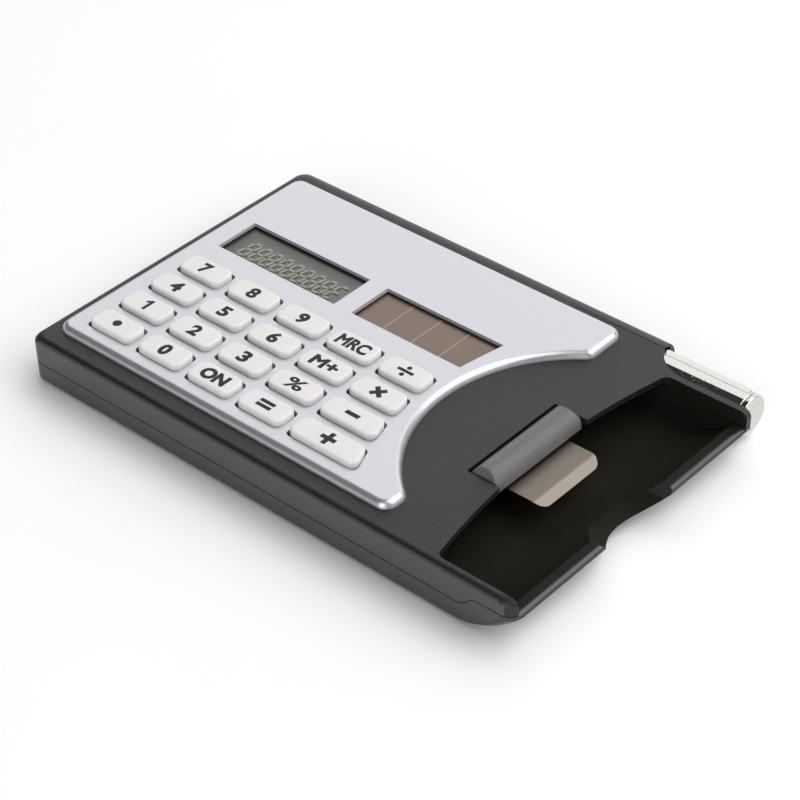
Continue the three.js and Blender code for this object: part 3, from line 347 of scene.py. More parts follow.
# %% Stainless and brass
def rolled_stainless():
    """A noise stretched along Y, the rolling direction, drives tone, roughness and a shallow relief."""
    made, tree, surface, place = start("stainless_strip_rolled", Metallic=1.0)
    stretched = add(tree, "ShaderNodeMapping", {"Vector": place, "Scale": (1.0, 0.03, 1.0)})
    lines = add(tree, "ShaderNodeTexNoise", {"Vector": stretched, "Scale": per(0.25), "Detail": 2.0})
    vary(tree, surface, lines, "#746c64", "#7d756d", 0.3, 0.36)
    add(tree, "ShaderNodeBump", {"Height": lines, "Distance": 0.0008 * MM, "Strength": 0.3}, (surface, "Normal"))
    return made


def polished_brass():
    """Tone and roughness follow the tarnish."""
    made, tree, surface, place = start("brass_polished", Metallic=1.0)
    tarnish = add(tree, "ShaderNodeTexNoise", {"Vector": place, "Scale": per(0.8), "Detail": 3.0})
    vary(tree, surface, tarnish, "#b9a368", "#cdb983", 0.15, 0.28)
    return made


STAINLESS = rolled_stainless()
BRASS = polished_brass()
print("finishes", STAINLESS.name, BRASS.name)

# %% [markdown]
# ## The grey bar
#
# A satin grey bar, moulded in a mould that was polished along its length, so it shows faint lengthwise streaks.

# %% Grey bar plastic
def bar_grey():
    """A noise stretched along Y, the bar's length, drives tone, roughness and relief."""
    made, tree, surface, place = start("abs_satin_grey", IOR=ABS_IOR, Specular_IOR_Level=0.3)
    stretched = add(tree, "ShaderNodeMapping", {"Vector": place, "Scale": (1.0, 0.12, 1.0)})
    streaks = add(tree, "ShaderNodeTexNoise", {"Vector": stretched, "Scale": per(0.6), "Detail": 3.0})
    vary(tree, surface, streaks, "#625f5f", "#6c6969", 0.32, 0.42)
    add(tree, "ShaderNodeBump", {"Height": streaks, "Distance": 0.006 * MM, "Strength": 0.4}, (surface, "Normal"))
    return made


BAR_GREY = bar_grey()
print("finish", BAR_GREY.name)

# %% [markdown]
# ## Display and solar cell
#
# The display is a reflective liquid-crystal glass: grey behind polished glass, and darker towards its far and left
# edges, where the frame shades it. The solar cell is brown amorphous silicon behind glass.

# %% Display glass
display_low, display_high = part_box("display")
FRAME = 0.9 * MM  # how far the frame covers the glass
SHADE = 5.0 * MM  # how far in from the glass's edge the frame's shade reaches


def display_glass():
    """The tone is a mottled grey, mixed towards a darker one by the shade: 1 at the frame and 0 where it ends,
    the larger of the far and the left one."""
    made, tree, surface, place = start("lcd_reflective_glass", IOR=1.52, Coat_Weight=0.3, Coat_Roughness=0.08)
    backing = add(tree, "ShaderNodeTexNoise", {"Vector": place, "Scale": per(0.5), "Detail": 3.0})
    parts = add(tree, "ShaderNodeSeparateXYZ", {"Vector": place})
    far = {"Value": parts.outputs["Y"], "From Min": display_high.y - SHADE, "From Max": display_high.y - FRAME}
    far = add(tree, "ShaderNodeMapRange", far, interpolation_type="SMOOTHSTEP")
    left = {"Value": parts.outputs["X"], "From Min": display_low.x + SHADE, "From Max": display_low.x + FRAME}
    left = add(tree, "ShaderNodeMapRange", left, interpolation_type="SMOOTHSTEP")
    shade = add(tree, "ShaderNodeMath", {0: far.outputs[0], 1: left.outputs[0]}, operation="MAXIMUM")
    lit = {"Factor": backing, "A": linear("#50524c"), "B": linear("#595b54")}
    lit = add(tree, "ShaderNodeMix", lit, data_type="RGBA")
    shaded = {"Factor": shade, "A": lit, "B": linear("#333431")}
    add(tree, "ShaderNodeMix", shaded, (surface, "Base Color"), data_type="RGBA")
    gloss = {"Value": backing, "To Min": 0.3, "To Max": 0.4, **SPREAD}
    add(tree, "ShaderNodeMapRange", gloss, (surface, "Roughness"))
    return made


DISPLAY = display_glass()
print("finish", DISPLAY.name)


# %% Solar cell glass
def solar_glass():
    """Tone and roughness follow a slow noise, as the film's thickness varies."""
    made, tree, surface, place = start("amorphous_silicon_glass", IOR=1.52, Coat_Weight=0.3, Coat_Roughness=0.08)
    film = add(tree, "ShaderNodeTexNoise", {"Vector": place, "Scale": per(6.0), "Detail": 1.0})
    vary(tree, surface, film, "#695341", "#6f5947", 0.28, 0.34)
    return made


SOLAR = solar_glass()
print("finish", SOLAR.name)

# %% [markdown]
# ## Plainer finishes
#
# Small films and the pieces inside get one common recipe: two tones mottled by noise, and a slight relief.

# %% Films, frame and inner finishes
def mottled(name, first, second, roughness, metallic=0.0, size_mm=0.8):
    """One noise drives the tone, the roughness within 0.05 of its value, and the relief."""
    made, tree, surface, place = start(name, Metallic=metallic)
    mottle = add(tree, "ShaderNodeTexNoise", {"Vector": place, "Scale": per(size_mm), "Detail": 3.0})
    vary(tree, surface, mottle, first, second, roughness - 0.05, roughness + 0.05)
    add(tree, "ShaderNodeBump", {"Height": mottle, "Distance": 0.005 * MM, "Strength": 0.3}, (surface, "Normal"))
    return made


SEGMENT = mottled("lcd_segment_film", "#848879", "#909484", 0.4)
SEGMENT_SHADOW = mottled("lcd_segment_shadow", "#353730", "#3e4038", 0.5)
# The windows' inner walls are near black: painted shade, for the shadow that lies down them.
WALL_PAINTED_SHADE = mottled("window_wall_painted_shade", "#1b1b1b", "#232323", 0.4)
# A flat grey for the windows' slopes: painted shade, in place of their darker reflections.
SLOPE_PAINTED_SHADE = mottled("window_slope_painted_shade", "#77767a", "#828185", 0.5)
CELL_GAP = mottled("solar_cell_gap", "#a3948a", "#ad9e94", 0.4)
BOARD = mottled("solder_mask_green", "#2b6338", "#33703f", 0.4)
EPOXY = mottled("potting_resin_black", "#121214", "#1a1a1c", 0.35)
SILICONE = mottled("silicone_rubber_grey", "#85888b", "#8f9295", 0.65)
LAYERED_RUBBER = mottled("layered_rubber_pink", "#bd948e", "#c9a29c", 0.6)
NICKEL = mottled("nickel_plate", "#b3b5b7", "#c2c4c6", 0.25, 1.0)
ZINC = mottled("zinc_plate", "#888a8d", "#9a9c9f", 0.35, 1.0)
TUBE = mottled("refill_tube_clear", "#d5d9de", "#dfe3e8", 0.3)
FLOOR_PAPER = mottled("paper_white", "#fafafa", "#fcfcfc", 0.9, size_mm=40.0)
floor_mesh.materials.append(FLOOR_PAPER)
print(len(bpy.data.materials), "finishes")

# %% [markdown]
# ## From solids to moulded pieces
#
# The frame's solids have sharp edges and coarse arcs, which is what a physics model needs. A moulded piece has no
# sharp edge: each one catches a thin line of light. So a copy of the solid is merged, its flat faces are joined,
# and a narrow bevel goes on each edge that is sharper than a limit. Shallow edges are shaded smooth. Where the real
# mould was smoother, as in the card bay, the faces inside a box in space take another finish.

# %% A piece in its place
def show(name, mesh, body, slot, material, *nodes):
    """A new piece: its mesh, the body that it rides on, its finish, and the solids that it stands for."""
    made = bpy.data.objects.new(name, mesh)
    bpy.context.scene.collection.objects.link(made)
    if not mesh.materials:
        mesh.materials.append(material)
    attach(made, body)
    if nodes:
        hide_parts(*nodes)
    return made


# %% A moulded copy of a solid
SAME_POINT = 2e-6  # corners closer than this, in metres, are one corner
FLAT = math.radians(0.6)  # faces that turn less than this are one face
ROUND_STEPS = 3  # segments across a rounded edge
FLAT_FIRST = 90  # how far large faces outweigh small ones in the shading; 50 is neutral


def moulded(node, body, slot, material, edge_mm, sharp=32.0, regions=()):
    """A copy of a CAD solid with its edges rounded by a radius, shaded smooth where the turn is slight.
    A region is (low corner, high corner, material): faces whose middle lies in that box take that finish."""
    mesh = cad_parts[node].data.copy()
    mesh.materials.clear()
    work = bmesh.new()
    work.from_mesh(mesh)
    bmesh.ops.remove_doubles(work, verts=work.verts, dist=SAME_POINT)
    bmesh.ops.dissolve_limit(work, angle_limit=FLAT, verts=work.verts, edges=work.edges)
    for face in work.faces:
        face.smooth = True
    for edge in work.edges:
        edge.smooth = edge.calc_face_angle(math.pi) < math.radians(sharp)
    mesh.materials.append(material)
    for number, (low, high, other) in enumerate(regions, 1):
        mesh.materials.append(other)
        for face in work.faces:
            middle = face.calc_center_median()
            if all(a <= c <= b for a, c, b in zip(low, middle, high)):
                face.material_index = number
    work.to_mesh(mesh)
    work.free()
    made = show(node + "_moulded", mesh, body, slot, material, node)
    if edge_mm:
        rounding = made.modifiers.new("edge", "BEVEL")
        rounding.width = edge_mm * MM
        rounding.segments = ROUND_STEPS
        rounding.limit_method = "ANGLE"
        rounding.angle_limit = math.radians(sharp)
        rounding.use_clamp_overlap = True
    # Large faces keep their own direction, and the narrow rounds take up the turn.
    weights = made.modifiers.new("normals", "WEIGHTED_NORMAL")
    weights.weight = FLAT_FIRST
    weights.keep_sharp = True


print("edges are rounded in", ROUND_STEPS, "steps")

# %% The case
divider_low, divider_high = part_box("divider")
# The card bay: the walls on both sides of the divider, from above the underside's skin to below the lid's.
beside = 0.6 * MM
bay_low = (case_low.x + 5.0 * MM, divider_low.y - beside, 0.9 * MM)
bay_high = (case_high.x - 2.2 * MM, divider_high.y + beside, FACE - 2.7 * MM)
bay = (bay_low, bay_high, ABS_BAY)
# The low end wall and the sweep up to it: all of the tray's last 11 mm, up to 7 mm high.
end_low = (case_high.x - 11.0 * MM, case_low.y - MM, -MM)
end_high = (case_high.x + MM, case_high.y + MM, 7.0 * MM)
end_wall = (end_low, end_high, ABS_EDGE)
# The side walls: what lies within a quarter of a millimetre of the case's outer planes.
skin = 0.25 * MM
below = (case_low.x - MM, case_low.y - MM, 0.3 * MM)
above = (case_high.x + MM, case_high.y + MM, FACE - 1.6 * MM)
walls = [
    (below, (above[0], case_low.y + skin, above[2]), ABS_SIDE),
    ((below[0], case_high.y - skin, below[2]), above, ABS_SIDE),
    (below, (case_low.x + skin, above[1], above[2]), ABS_SIDE),
]
moulded("top_shell", "case", "black_case", ABS, 0.22, regions=[*walls, bay])
moulded("bottom_shell", "case", "black_case", ABS, 0.22, regions=[*walls, end_wall, bay])
print("lid and tray")

# %% The faceplate and the bar
GLASS_EDGE = 0.85 * MM  # the windows' walls stand at least this far in from the glass's edges
SLOPE_HEAD, SLOPE_FOOT = 0.03 * MM, 0.36 * MM  # depths below the face; the windows' slopes lie between them
windows = []
for node in ("display", "solar_cell"):
    low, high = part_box(node)
    wall_low = (low.x + GLASS_EDGE, low.y + GLASS_EDGE, plate_low.z)
    wall_high = (high.x - 0.5 * MM, high.y - GLASS_EDGE, FACE - SLOPE_FOOT)
    # The inner walls take the near black of painted shade.
    windows.append((wall_low, wall_high, WALL_PAINTED_SHADE))
    # The slopes round the glass take a flat grey, duller than the face: painted shade, in place of the darker
    # reflections that they show. The box stops short of the right ends, where it would take in the plate's raised
    # edge.
    slope_low = (low.x, low.y, FACE - SLOPE_FOOT)
    slope_high = (high.x - 2.5 * MM, high.y, FACE - SLOPE_HEAD)
    windows.append((slope_low, slope_high, SLOPE_PAINTED_SHADE))
moulded("faceplate", "case", "silver_plate", SILVER, 0.1, 40.0, regions=windows)
moulded("thumb_bar", "slider", "bar_grey", BAR_GREY, 0.3)
print("faceplate and bar")

# %% [markdown]
# ## Surfaces from numbers
#
# Key caps and the pen are surfaces of two parameters: one runs round a ring, the other runs from ring to ring.
# The rings come as one array, and the faces are index arithmetic on it, so there is no loop over vertices.

# %% Rings to a closed mesh
CREASE = math.radians(35)  # edges that turn more than this stay crisp


def closed_rings(name, rings):
    """A mesh from rings of shape (levels, around, 3). Quads join ring i to ring i+1; a fan closes each end."""
    levels, around, _ = rings.shape
    ends = rings[[0, -1]].mean(axis=1)
    points = np.concatenate([rings.reshape(-1, 3), ends])
    here = np.arange(around)
    beside = (here + 1) % around
    level = np.arange(levels - 1)[:, None] * around
    quads = np.stack([level + here, level + beside, level + around + beside, level + around + here], axis=-1)
    first = levels * around
    last = (levels - 1) * around
    low = np.stack([beside, here, np.full(around, first)], axis=-1)
    high = np.stack([last + here, last + beside, np.full(around, first + 1)], axis=-1)
    mesh = bpy.data.meshes.new(name)
    mesh.from_pydata(points.tolist(), [], quads.reshape(-1, 4).tolist() + low.tolist() + high.tolist())
    mesh.polygons.foreach_set("use_smooth", np.ones(len(mesh.polygons), bool))
    work = bmesh.new()
    work.from_mesh(mesh)
    for edge in work.edges:
        edge.smooth = edge.calc_face_angle(math.pi) < CREASE
    work.to_mesh(mesh)
    work.free()
    return mesh


print("rings crease at", round(math.degrees(CREASE)), "degrees")

# %% [markdown]
# ## The leaf
#
# A strip of thin stainless steel: flat under the bar, then a short lip that turns down to the cards. Its two
# outer corners are round. A path is drawn in side view, and the strip is carried along it. Near the tip its half
# width follows the corner's arc, so the corners come out round without a cut.

# %% The leaf's path
LEAF_THICK = 0.25 * MM
LEAF_CORNER = 2.2 * MM  # radius of its two outer corners
LEAF_LIP = 1.7 * MM  # length of the lip, along the case
LEAF_BEND = 0.4 * MM  # how far to each side a bend is smoothed
LEAF_CUT = 0.05 * MM  # how much is taken off its long edges
leaf_low, leaf_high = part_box("leaf_spring")


def leaf_path(steps=400):
    """Points (x, z) of the strip's middle line. Straight runs between bends, then each point is averaged with its
    neighbours, which rounds the bends."""
    top = leaf_high.z - LEAF_THICK / 2
    bottom = leaf_low.z + LEAF_THICK / 2
    bends_x = np.array([leaf_low.x, leaf_high.x - LEAF_LIP, leaf_high.x])
    bends_z = np.array([top, top, bottom])
    x = np.linspace(bends_x[0], bends_x[-1], steps)
    z = np.interp(x, bends_x, bends_z)
    reach = int(LEAF_BEND / (x[1] - x[0]))
    kernel = np.ones(2 * reach + 1) / (2 * reach + 1)
    ends = np.pad(z, reach, mode="reflect", reflect_type="odd")
    return x, np.convolve(ends, kernel, mode="valid")


print("leaf from", round(leaf_low.x / MM, 1), "to", round(leaf_high.x / MM, 1), "mm")


# %% The leaf's strip
def leaf_mesh(name):
    """At each step the section is a flat rectangle with its edges cut. Half width = full half width, less the
    corner radius, plus the square root of radius squared less distance past the corner's start squared."""
    path_x, path_z = leaf_path()
    straight = path_x[-1] - LEAF_CORNER
    round_end = straight + LEAF_CORNER * np.sin(np.radians(np.linspace(0, 90, 24)[1:]))
    x = np.concatenate([np.linspace(path_x[0], straight, 120), round_end])
    z = np.interp(x, path_x, path_z)
    slope = np.arctan(np.gradient(z, x))
    past = np.clip(x - straight, 0, LEAF_CORNER)
    half = (leaf_high.y - leaf_low.y) / 2 - LEAF_CORNER + np.sqrt(LEAF_CORNER**2 - past**2)
    cut = LEAF_CUT
    thin = LEAF_THICK / 2
    across = np.stack([cut - half, half - cut, half, half, half - cut, cut - half, -half, -half], axis=1)
    rise = np.array([-thin, -thin, cut - thin, thin - cut, thin, thin, thin - cut, cut - thin])
    middle = (leaf_low.y + leaf_high.y) / 2
    rings = [x[:, None] - rise * np.sin(slope)[:, None], middle + across, z[:, None] + rise * np.cos(slope)[:, None]]
    return closed_rings(name, np.stack(rings, axis=-1))


show("leaf_strip", leaf_mesh("leaf_strip"), "slider", "stainless_leaf", STAINLESS, "leaf_spring")
print("leaf drawn")

# %% [markdown]
# ## Key caps
#
# A cap is a rounded rectangle that rises straight and then turns over into its flat top. The last column is not
# quite rectangular: its right ends lean along a wide arc, so each cap there has its own slanted side. The caps'
# places are read from the solids: their sides, and for a slanted one the two ends of its right side.

# %% Sides of a cap
def cap_sides(node):
    """Left, near, far, and the right side's near and far ends, of a cap's upright part. The right side is the line
    through its two ends nearest the middle, carried on to the near and the far side."""
    low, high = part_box(node)
    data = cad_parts[node].data
    co = np.empty(len(data.vertices) * 3)
    data.vertices.foreach_get("co", co)
    co = co.reshape(-1, 3)
    wall = co[(co[:, 2] > FACE) & (co[:, 2] < high.z - 0.3 * MM)]
    left, near = wall[:, 0].min(), wall[:, 1].min()
    far = wall[:, 1].max()
    middle = (near + far) / 2
    right = wall[wall[:, 0] > (left + wall[:, 0].max()) / 2]
    low_end = right[np.where(right[:, 1] < middle, right[:, 1], -1).argmax()]
    high_end = right[np.where(right[:, 1] > middle, right[:, 1], 1).argmin()]
    lean = (high_end[0] - low_end[0]) / (high_end[1] - low_end[1])
    return left, near, far, low_end[0] + lean * (near - low_end[1]), high_end[0] + lean * (far - high_end[1])


def cap_middle(node):
    """The middle of a cap's top: half way between its left side and the middle of its right side."""
    left, near, far, right_near, right_far = cap_sides(node)
    return (left + (right_near + right_far) / 2) / 2, (near + far) / 2


print("key 5 stands at", [round(v / MM, 2) for v in cap_middle("key_5")], "mm")


# %% Outline of a cap
def cap_outline(sides, inset, radius, steps=10):
    """Corners as arcs: each is its centre plus (radius - inset) times (cos, sin). The right side leans, so the
    centres there are set back by the radius times the tangent of half the corner's turn."""
    left, near, far, right_near, right_far = sides
    slope = math.atan2(right_near - right_far, far - near)
    setback = [1.0, math.tan(math.pi / 4 + slope / 2), math.tan(math.pi / 4 - slope / 2), 1.0]
    turn = [(180, 270), (270, 360 + math.degrees(slope)), (math.degrees(slope), 90), (90, 180)]
    centres = [
        (left + radius * setback[0], near + radius),
        (right_near - radius * setback[1], near + radius),
        (right_far - radius * setback[2], far - radius),
        (left + radius * setback[3], far - radius),
    ]
    arcs = []
    for (a, b), centre in zip(turn, centres):
        angle = np.radians(np.linspace(a, b, steps))
        reach = radius - inset
        arcs.append(np.stack([centre[0] + reach * np.cos(angle), centre[1] + reach * np.sin(angle)], axis=1))
    return np.concatenate(arcs)


print("an outline has", len(cap_outline(cap_sides("key_5"), 0.0, MM)), "corners")

# %% Caps
CAP_FOOT = 1.3 * MM  # the walls start this far below the plate's face
CAP_CROWN = 0.03 * MM  # the top is very slightly crowned: it is highest in the middle


def cap_mesh(name, sides, top, corner_mm=1.55, round_mm=0.42):
    """Rings up the wall, a quarter circle of insets at the top edge, then rings that shrink to the middle. On
    those, height = top plus crown times (1 - share squared)."""
    rounding = np.radians(np.linspace(0, 90, 8))
    insets = np.concatenate([[0.0], round_mm * MM * (1 - np.cos(rounding))])
    heights = np.concatenate([[FACE - CAP_FOOT], top - round_mm * MM * (1 - np.sin(rounding))])
    rings = []
    for inset, z in zip(insets, heights):
        outline = cap_outline(sides, inset, corner_mm * MM)
        rings.append(np.column_stack([outline, np.full(len(outline), z)]))
    edge = rings[-1]
    middle = edge.mean(axis=0)
    for share in (0.9, 0.6, 0.3):
        ring = middle + (edge - middle) * share
        ring[:, 2] = top + CAP_CROWN * (1 - share**2)
        rings.append(ring)
    return closed_rings(name, np.array(rings))


KEYS = [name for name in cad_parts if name.startswith("key_") and name != "key_mat"]
for name in KEYS:
    cap = name + "_cap"
    show(cap, cap_mesh(cap, cap_sides(name), KEY_TOP), cap, "key_white", KEY_WHITE, name)
print(len(KEYS), "caps")

# %% [markdown]
# ## Printed figures
#
# The legends are ordinary figures and signs. Blender's own font is thin, so its outline gets a bead that widens
# each stroke. The result becomes a mesh, fitted to its width and height on the cap and pressed flat to a film of
# ink. The signs are simple enough to be drawn as outlines.

# %% Legends
# Text, width and height in millimetres, and the bead as a share of the type size. An M needs a thinner bead.
LEGENDS = {
    "key_7": ("7", 2.2, 2.9, 0.06), "key_8": ("8", 2.2, 3.0, 0.05), "key_9": ("9", 2.2, 3.0, 0.055),
    "key_4": ("4", 2.4, 2.9, 0.055), "key_5": ("5", 2.2, 2.9, 0.055), "key_6": ("6", 2.2, 3.0, 0.055),
    "key_2": ("2", 2.2, 2.9, 0.06), "key_3": ("3", 2.2, 3.0, 0.055), "key_0": ("0", 2.2, 3.0, 0.065),
    "key_on": ("ON", 5.7, 2.95, 0.065), "key_memory_recall": ("MRC", 6.8, 2.95, 0.05),
    "key_memory_add": ("M+", 5.7, 2.8, 0.05), "key_percent": ("%", 3.7, 2.9, 0.03),
}
print(len(LEGENDS), "legends set as text")

# %% Printed text
INK_FILM = 0.02 * MM  # half of the film's thickness
INK_LIFT = 0.02 * MM  # from the cap's edge up to the film's middle, which clears the crown


def printed(node, text, width_mm, height_mm, bead):
    """A legend as a mesh: set as text with a bead, scaled to its width and height about the cap's middle, and
    pressed flat: each point goes up or down by the film, as the sign of its height says."""
    curve = bpy.data.curves.new(node + "_figure", "FONT")
    curve.body = text
    curve.size = 1.0
    curve.bevel_depth = bead
    curve.bevel_resolution = 1
    curve.resolution_u = 5
    setting = bpy.data.objects.new("setting", curve)
    bpy.context.scene.collection.objects.link(setting)
    mesh = bpy.data.meshes.new_from_object(setting)
    bpy.data.objects.remove(setting)
    co = np.empty(len(mesh.vertices) * 3)
    mesh.vertices.foreach_get("co", co)
    co = co.reshape(-1, 3)
    low, high = co.min(axis=0), co.max(axis=0)
    x, y = cap_middle(node)
    middle = (low + high) / 2
    co[:, 0] = x + (co[:, 0] - middle[0]) * width_mm * MM / (high[0] - low[0])
    co[:, 1] = y + (co[:, 1] - middle[1]) * height_mm * MM / (high[1] - low[1])
    co[:, 2] = KEY_TOP + INK_LIFT + np.sign(co[:, 2]) * INK_FILM
    mesh.vertices.foreach_set("co", co.ravel())
    mesh.materials.clear()
    mesh.name = node + "_figure"
    show(node + "_figure", mesh, node + "_cap", "key_white", INK)


for name, legend in LEGENDS.items():
    printed(name, *legend)
print(len(LEGENDS), "figures printed")


# %% Flat pieces from outlines
def flat_piece(name, outlines, low, high):
    """Flat outlines, each an array of (x, y), as one mesh of prisms from one height to another."""
    points, faces, base = [], [], 0
    for outline in outlines:
        count = len(outline)
        lower = np.column_stack([outline, np.full(count, low)])
        upper = np.column_stack([outline, np.full(count, high)])
        points += [lower, upper]
        here = np.arange(count)
        beside = (here + 1) % count
        sides = np.stack([here, beside, count + beside, count + here], axis=-1) + base
        faces += sides.tolist()
        faces.append((base + here[::-1]).tolist())
        faces.append((base + count + here).tolist())
        base += 2 * count
    mesh = bpy.data.meshes.new(name)
    mesh.from_pydata(np.concatenate(points).tolist(), [], faces)
    return mesh


def block(x, y, width_mm, depth_mm):
    """A rectangle round a point, as an outline of four corners."""
    return np.array([[-1, -1], [1, -1], [1, 1], [-1, 1]]) * np.array([width_mm, depth_mm]) * MM / 2 + np.array([x, y])


def disc(x, y, radius_mm, count=32):
    """A circle round a point: radius times (cos, sin)."""
    angle = np.linspace(0, 2 * np.pi, count, endpoint=False)
    return np.array([x, y]) + radius_mm * MM * np.stack([np.cos(angle), np.sin(angle)], axis=1)


def plus(x, y, size_mm, stroke_mm, turn=0.0):
    """A cross as one outline of twelve corners, turned by an angle in degrees: x cos - y sin, x sin + y cos."""
    a, b = size_mm / 2, stroke_mm / 2
    corners = np.array(
        [[-b, -a], [b, -a], [b, -b], [a, -b], [a, b], [b, b], [b, a], [-b, a], [-b, b], [-a, b], [-a, -b], [-b, -b]]
    )
    angle = math.radians(turn)
    spin = np.array([[math.cos(angle), math.sin(angle)], [-math.sin(angle), math.cos(angle)]])
    return corners @ spin * MM + np.array([x, y])


print("a disc has", len(disc(0, 0, 1.0)), "corners")

# %% Signs
SIGN_TOP = KEY_TOP + 0.035 * MM
SIGN_DEPTH = 0.05 * MM


def signs(node):
    """The outlines of a key's sign about the cap's middle, with its sizes in millimetres."""
    x, y = cap_middle(node)
    if node == "key_point":
        return [disc(x, y, 0.85)]
    if node == "key_1":
        stem = [[-0.1, -1.45], [0.55, -1.45], [0.55, 1.45], [0.05, 1.45]]
        flag = [[-0.85, 0.75], [-0.6, 0.3], [-0.1, 0.65]]
        return [np.array(stem + flag) * MM + np.array([x, y])]
    if node == "key_equals":
        return [block(x, y + 0.58 * MM, 3.2, 0.78), block(x, y - 0.58 * MM, 3.2, 0.78)]
    if node == "key_minus":
        return [block(x, y, 2.9, 0.92)]
    if node == "key_plus":
        return [plus(x, y, 3.1, 0.92)]
    if node == "key_multiply":
        return [plus(x, y, 3.0, 0.88, 45.0)]
    return [block(x, y, 3.4, 0.7), disc(x, y + 1.05 * MM, 0.46), disc(x, y - 1.05 * MM, 0.46)]


for name in ("key_1", "key_point", "key_equals", "key_minus", "key_plus", "key_multiply", "key_divide"):
    sign = flat_piece(name + "_sign", signs(name), SIGN_TOP - SIGN_DEPTH, SIGN_TOP)
    show(name + "_sign", sign, name + "_cap", "key_white", INK)
print("seven signs")

# %% [markdown]
# ## Display figures
#
# An unlit display still shows its segments faintly: eight figures and an E for an error. They lean forward. Each
# figure is seven strokes with pointed ends. A darker copy lies deeper, which is the shadow that the segments throw
# on the reflector behind the liquid crystal.

# %% Seven-segment strokes
LEAN = math.tan(math.radians(10))
STROKE = 0.56  # width of a stroke, in millimetres, as are the next ones
STROKE_GAP = 0.14  # from a corner to the stroke's tip
FIRST, PITCH, BASE = 3.6, 2.62, 2.0  # first figure and step along the glass, and base line above its near edge
WIDE, TALL = 1.75, 4.3  # size of a figure
FILM_TOP, FILM_DEEP = 0.03, 0.02  # the film's top above the glass, and its thickness


def stroke(x0, y0, x1, y1, width):
    """A stroke between two points with ends cut to a point: a hexagon along the line."""
    along = np.array([x1 - x0, y1 - y0])
    length = np.linalg.norm(along)
    along = along / length
    across = np.array([-along[1], along[0]]) * width / 2
    a = np.array([x0, y0])
    b = np.array([x1, y1])
    tip = along * width / 2
    return np.array([a, a + tip - across, b - tip - across, b, b - tip + across, a + tip + across])


def figure(x, y, kinds, w=WIDE, h=TALL, gap=STROKE_GAP):
    """The strokes of one figure, sheared by the lean: x grows with height above the base line."""
    lines = {
        "a": (gap, h, w - gap, h), "g": (gap, h / 2, w - gap, h / 2), "d": (gap, 0, w - gap, 0),
        "f": (0, h / 2 + gap, 0, h - gap), "b": (w, h / 2 + gap, w, h - gap),
        "e": (0, gap, 0, h / 2 - gap), "c": (w, gap, w, h / 2 - gap),
    }
    made = []
    for kind in kinds:
        outline = stroke(*lines[kind], STROKE)
        outline[:, 0] += outline[:, 1] * LEAN
        made.append((outline + np.array([x, y])) * MM)
    return made


print("an 8 has", len(figure(0, 0, "abcdefg")), "strokes")


# %% The row of figures
def display_figures(name, shift, depth_mm, material):
    """Eight figures and an E in a row, in frame coordinates, at a depth below the film's top. The shift moves the
    row to the right and nearer by the same amount."""
    corner = np.array([display_low.x, display_low.y])
    outlines = []
    for place in range(9):
        kinds = "adefg" if place == 8 else "abcdefg"
        outlines += figure(FIRST + PITCH * place + shift, BASE - shift, kinds)
    outlines = [outline + corner for outline in outlines]
    high = display_high.z + (FILM_TOP - depth_mm) * MM
    show(name, flat_piece(name, outlines, high - FILM_DEEP * MM, high), "case", "display_glass", material)


display_figures("display_shadow", 0.4, 0.015, SEGMENT_SHADOW)
display_figures("display_segments", 0.0, 0.0, SEGMENT)
print("segments and their shadow")

# %% [markdown]
# ## Solar cell's joints
#
# The strip is four cells in a row. Where two meet, a pale line of bare glass shows.

# %% Lines on the solar cell
solar_low, solar_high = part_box("solar_cell")
JOINTS = (7.0, 13.4, 19.6)  # places along the strip, in millimetres
JOINT_WIDE, JOINT_LONG = 0.18, 10.0
solar_middle = (solar_low.y + solar_high.y) / 2
lines = [block(solar_low.x + along * MM, solar_middle, JOINT_WIDE, JOINT_LONG) for along in JOINTS]
joints = flat_piece("solar_joints", lines, solar_high.z, solar_high.z + 0.02 * MM)
show("solar_joints", joints, "case", "solar_glass", CELL_GAP)

# %% [markdown]
# ## The pen
#
# Its barrel, ring, plug, nose and refill are turned pieces. Each is a profile of distance along the pen and
# radius, carried round the axis in 96 steps. Its two ends are closed by fans, most of which other pieces cover.

# %% Turned pieces
pen_low, pen_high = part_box("pen_barrel")
PEN_Y = (pen_low.y + pen_high.y) / 2
PEN_Z = (pen_low.z + pen_high.z) / 2
PEN_RADIUS = (pen_high.z - pen_low.z) / 2


def turned(name, profile, around=96):
    """Rings about the pen's axis: y = r cos a and z = r sin a at each x of the profile."""
    profile = np.array(profile)
    angle = np.linspace(0, 2 * np.pi, around, endpoint=False)
    x = np.repeat(profile[:, :1], around, axis=1)
    y = PEN_Y + profile[:, 1:] * np.cos(angle)
    z = PEN_Z + profile[:, 1:] * np.sin(angle)
    return closed_rings(name, np.stack([x, y, z], axis=-1))


def pen_piece(node, slot, material, shape):
    """A turned piece in a node's place: the shape turns the node's box into a profile of (x, radius)."""
    low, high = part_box(node)
    show(node + "_turned", turned(node + "_turned", shape(low, high)), "pen", slot, material, node)


print("the pen's radius is", round(PEN_RADIUS / MM, 2), "mm")

# %% Profiles
CHAMFER = 0.05 * MM
NOSE_TIP, NOSE_MOUTH = 1.5 * MM, 0.9 * MM  # radius of the nose at its tip, and of the hole there


def rounded_end(x, r, radius):
    """A quarter circle at a right end: x less radius times (1 - sin a), and r less radius times (1 - cos a)."""
    bend = np.radians(np.linspace(0, 90, 6))
    return [(x - radius * (1 - math.sin(a)), r - radius * (1 - math.cos(a))) for a in bend]


def barrel(low, high):
    """A plain tube with a small round at its right end, and one ring part way along."""
    r = PEN_RADIUS
    start = [(low.x, r - CHAMFER), (low.x + CHAMFER, r), (high.x - 40 * MM, r)]
    return [*start, *rounded_end(high.x, r, 0.3 * MM), (high.x, r - 1.0 * MM)]


def nose(low, high):
    """A cone that swells slightly: radius = tip + (full - tip) times t to the 0.8."""
    t = np.linspace(0, 1, 24)
    x = low.x + (high.x - low.x) * t
    r = NOSE_TIP + (PEN_RADIUS - NOSE_TIP) * t**0.8
    return np.column_stack([np.concatenate([[low.x], x]), np.concatenate([[NOSE_MOUTH], r])])


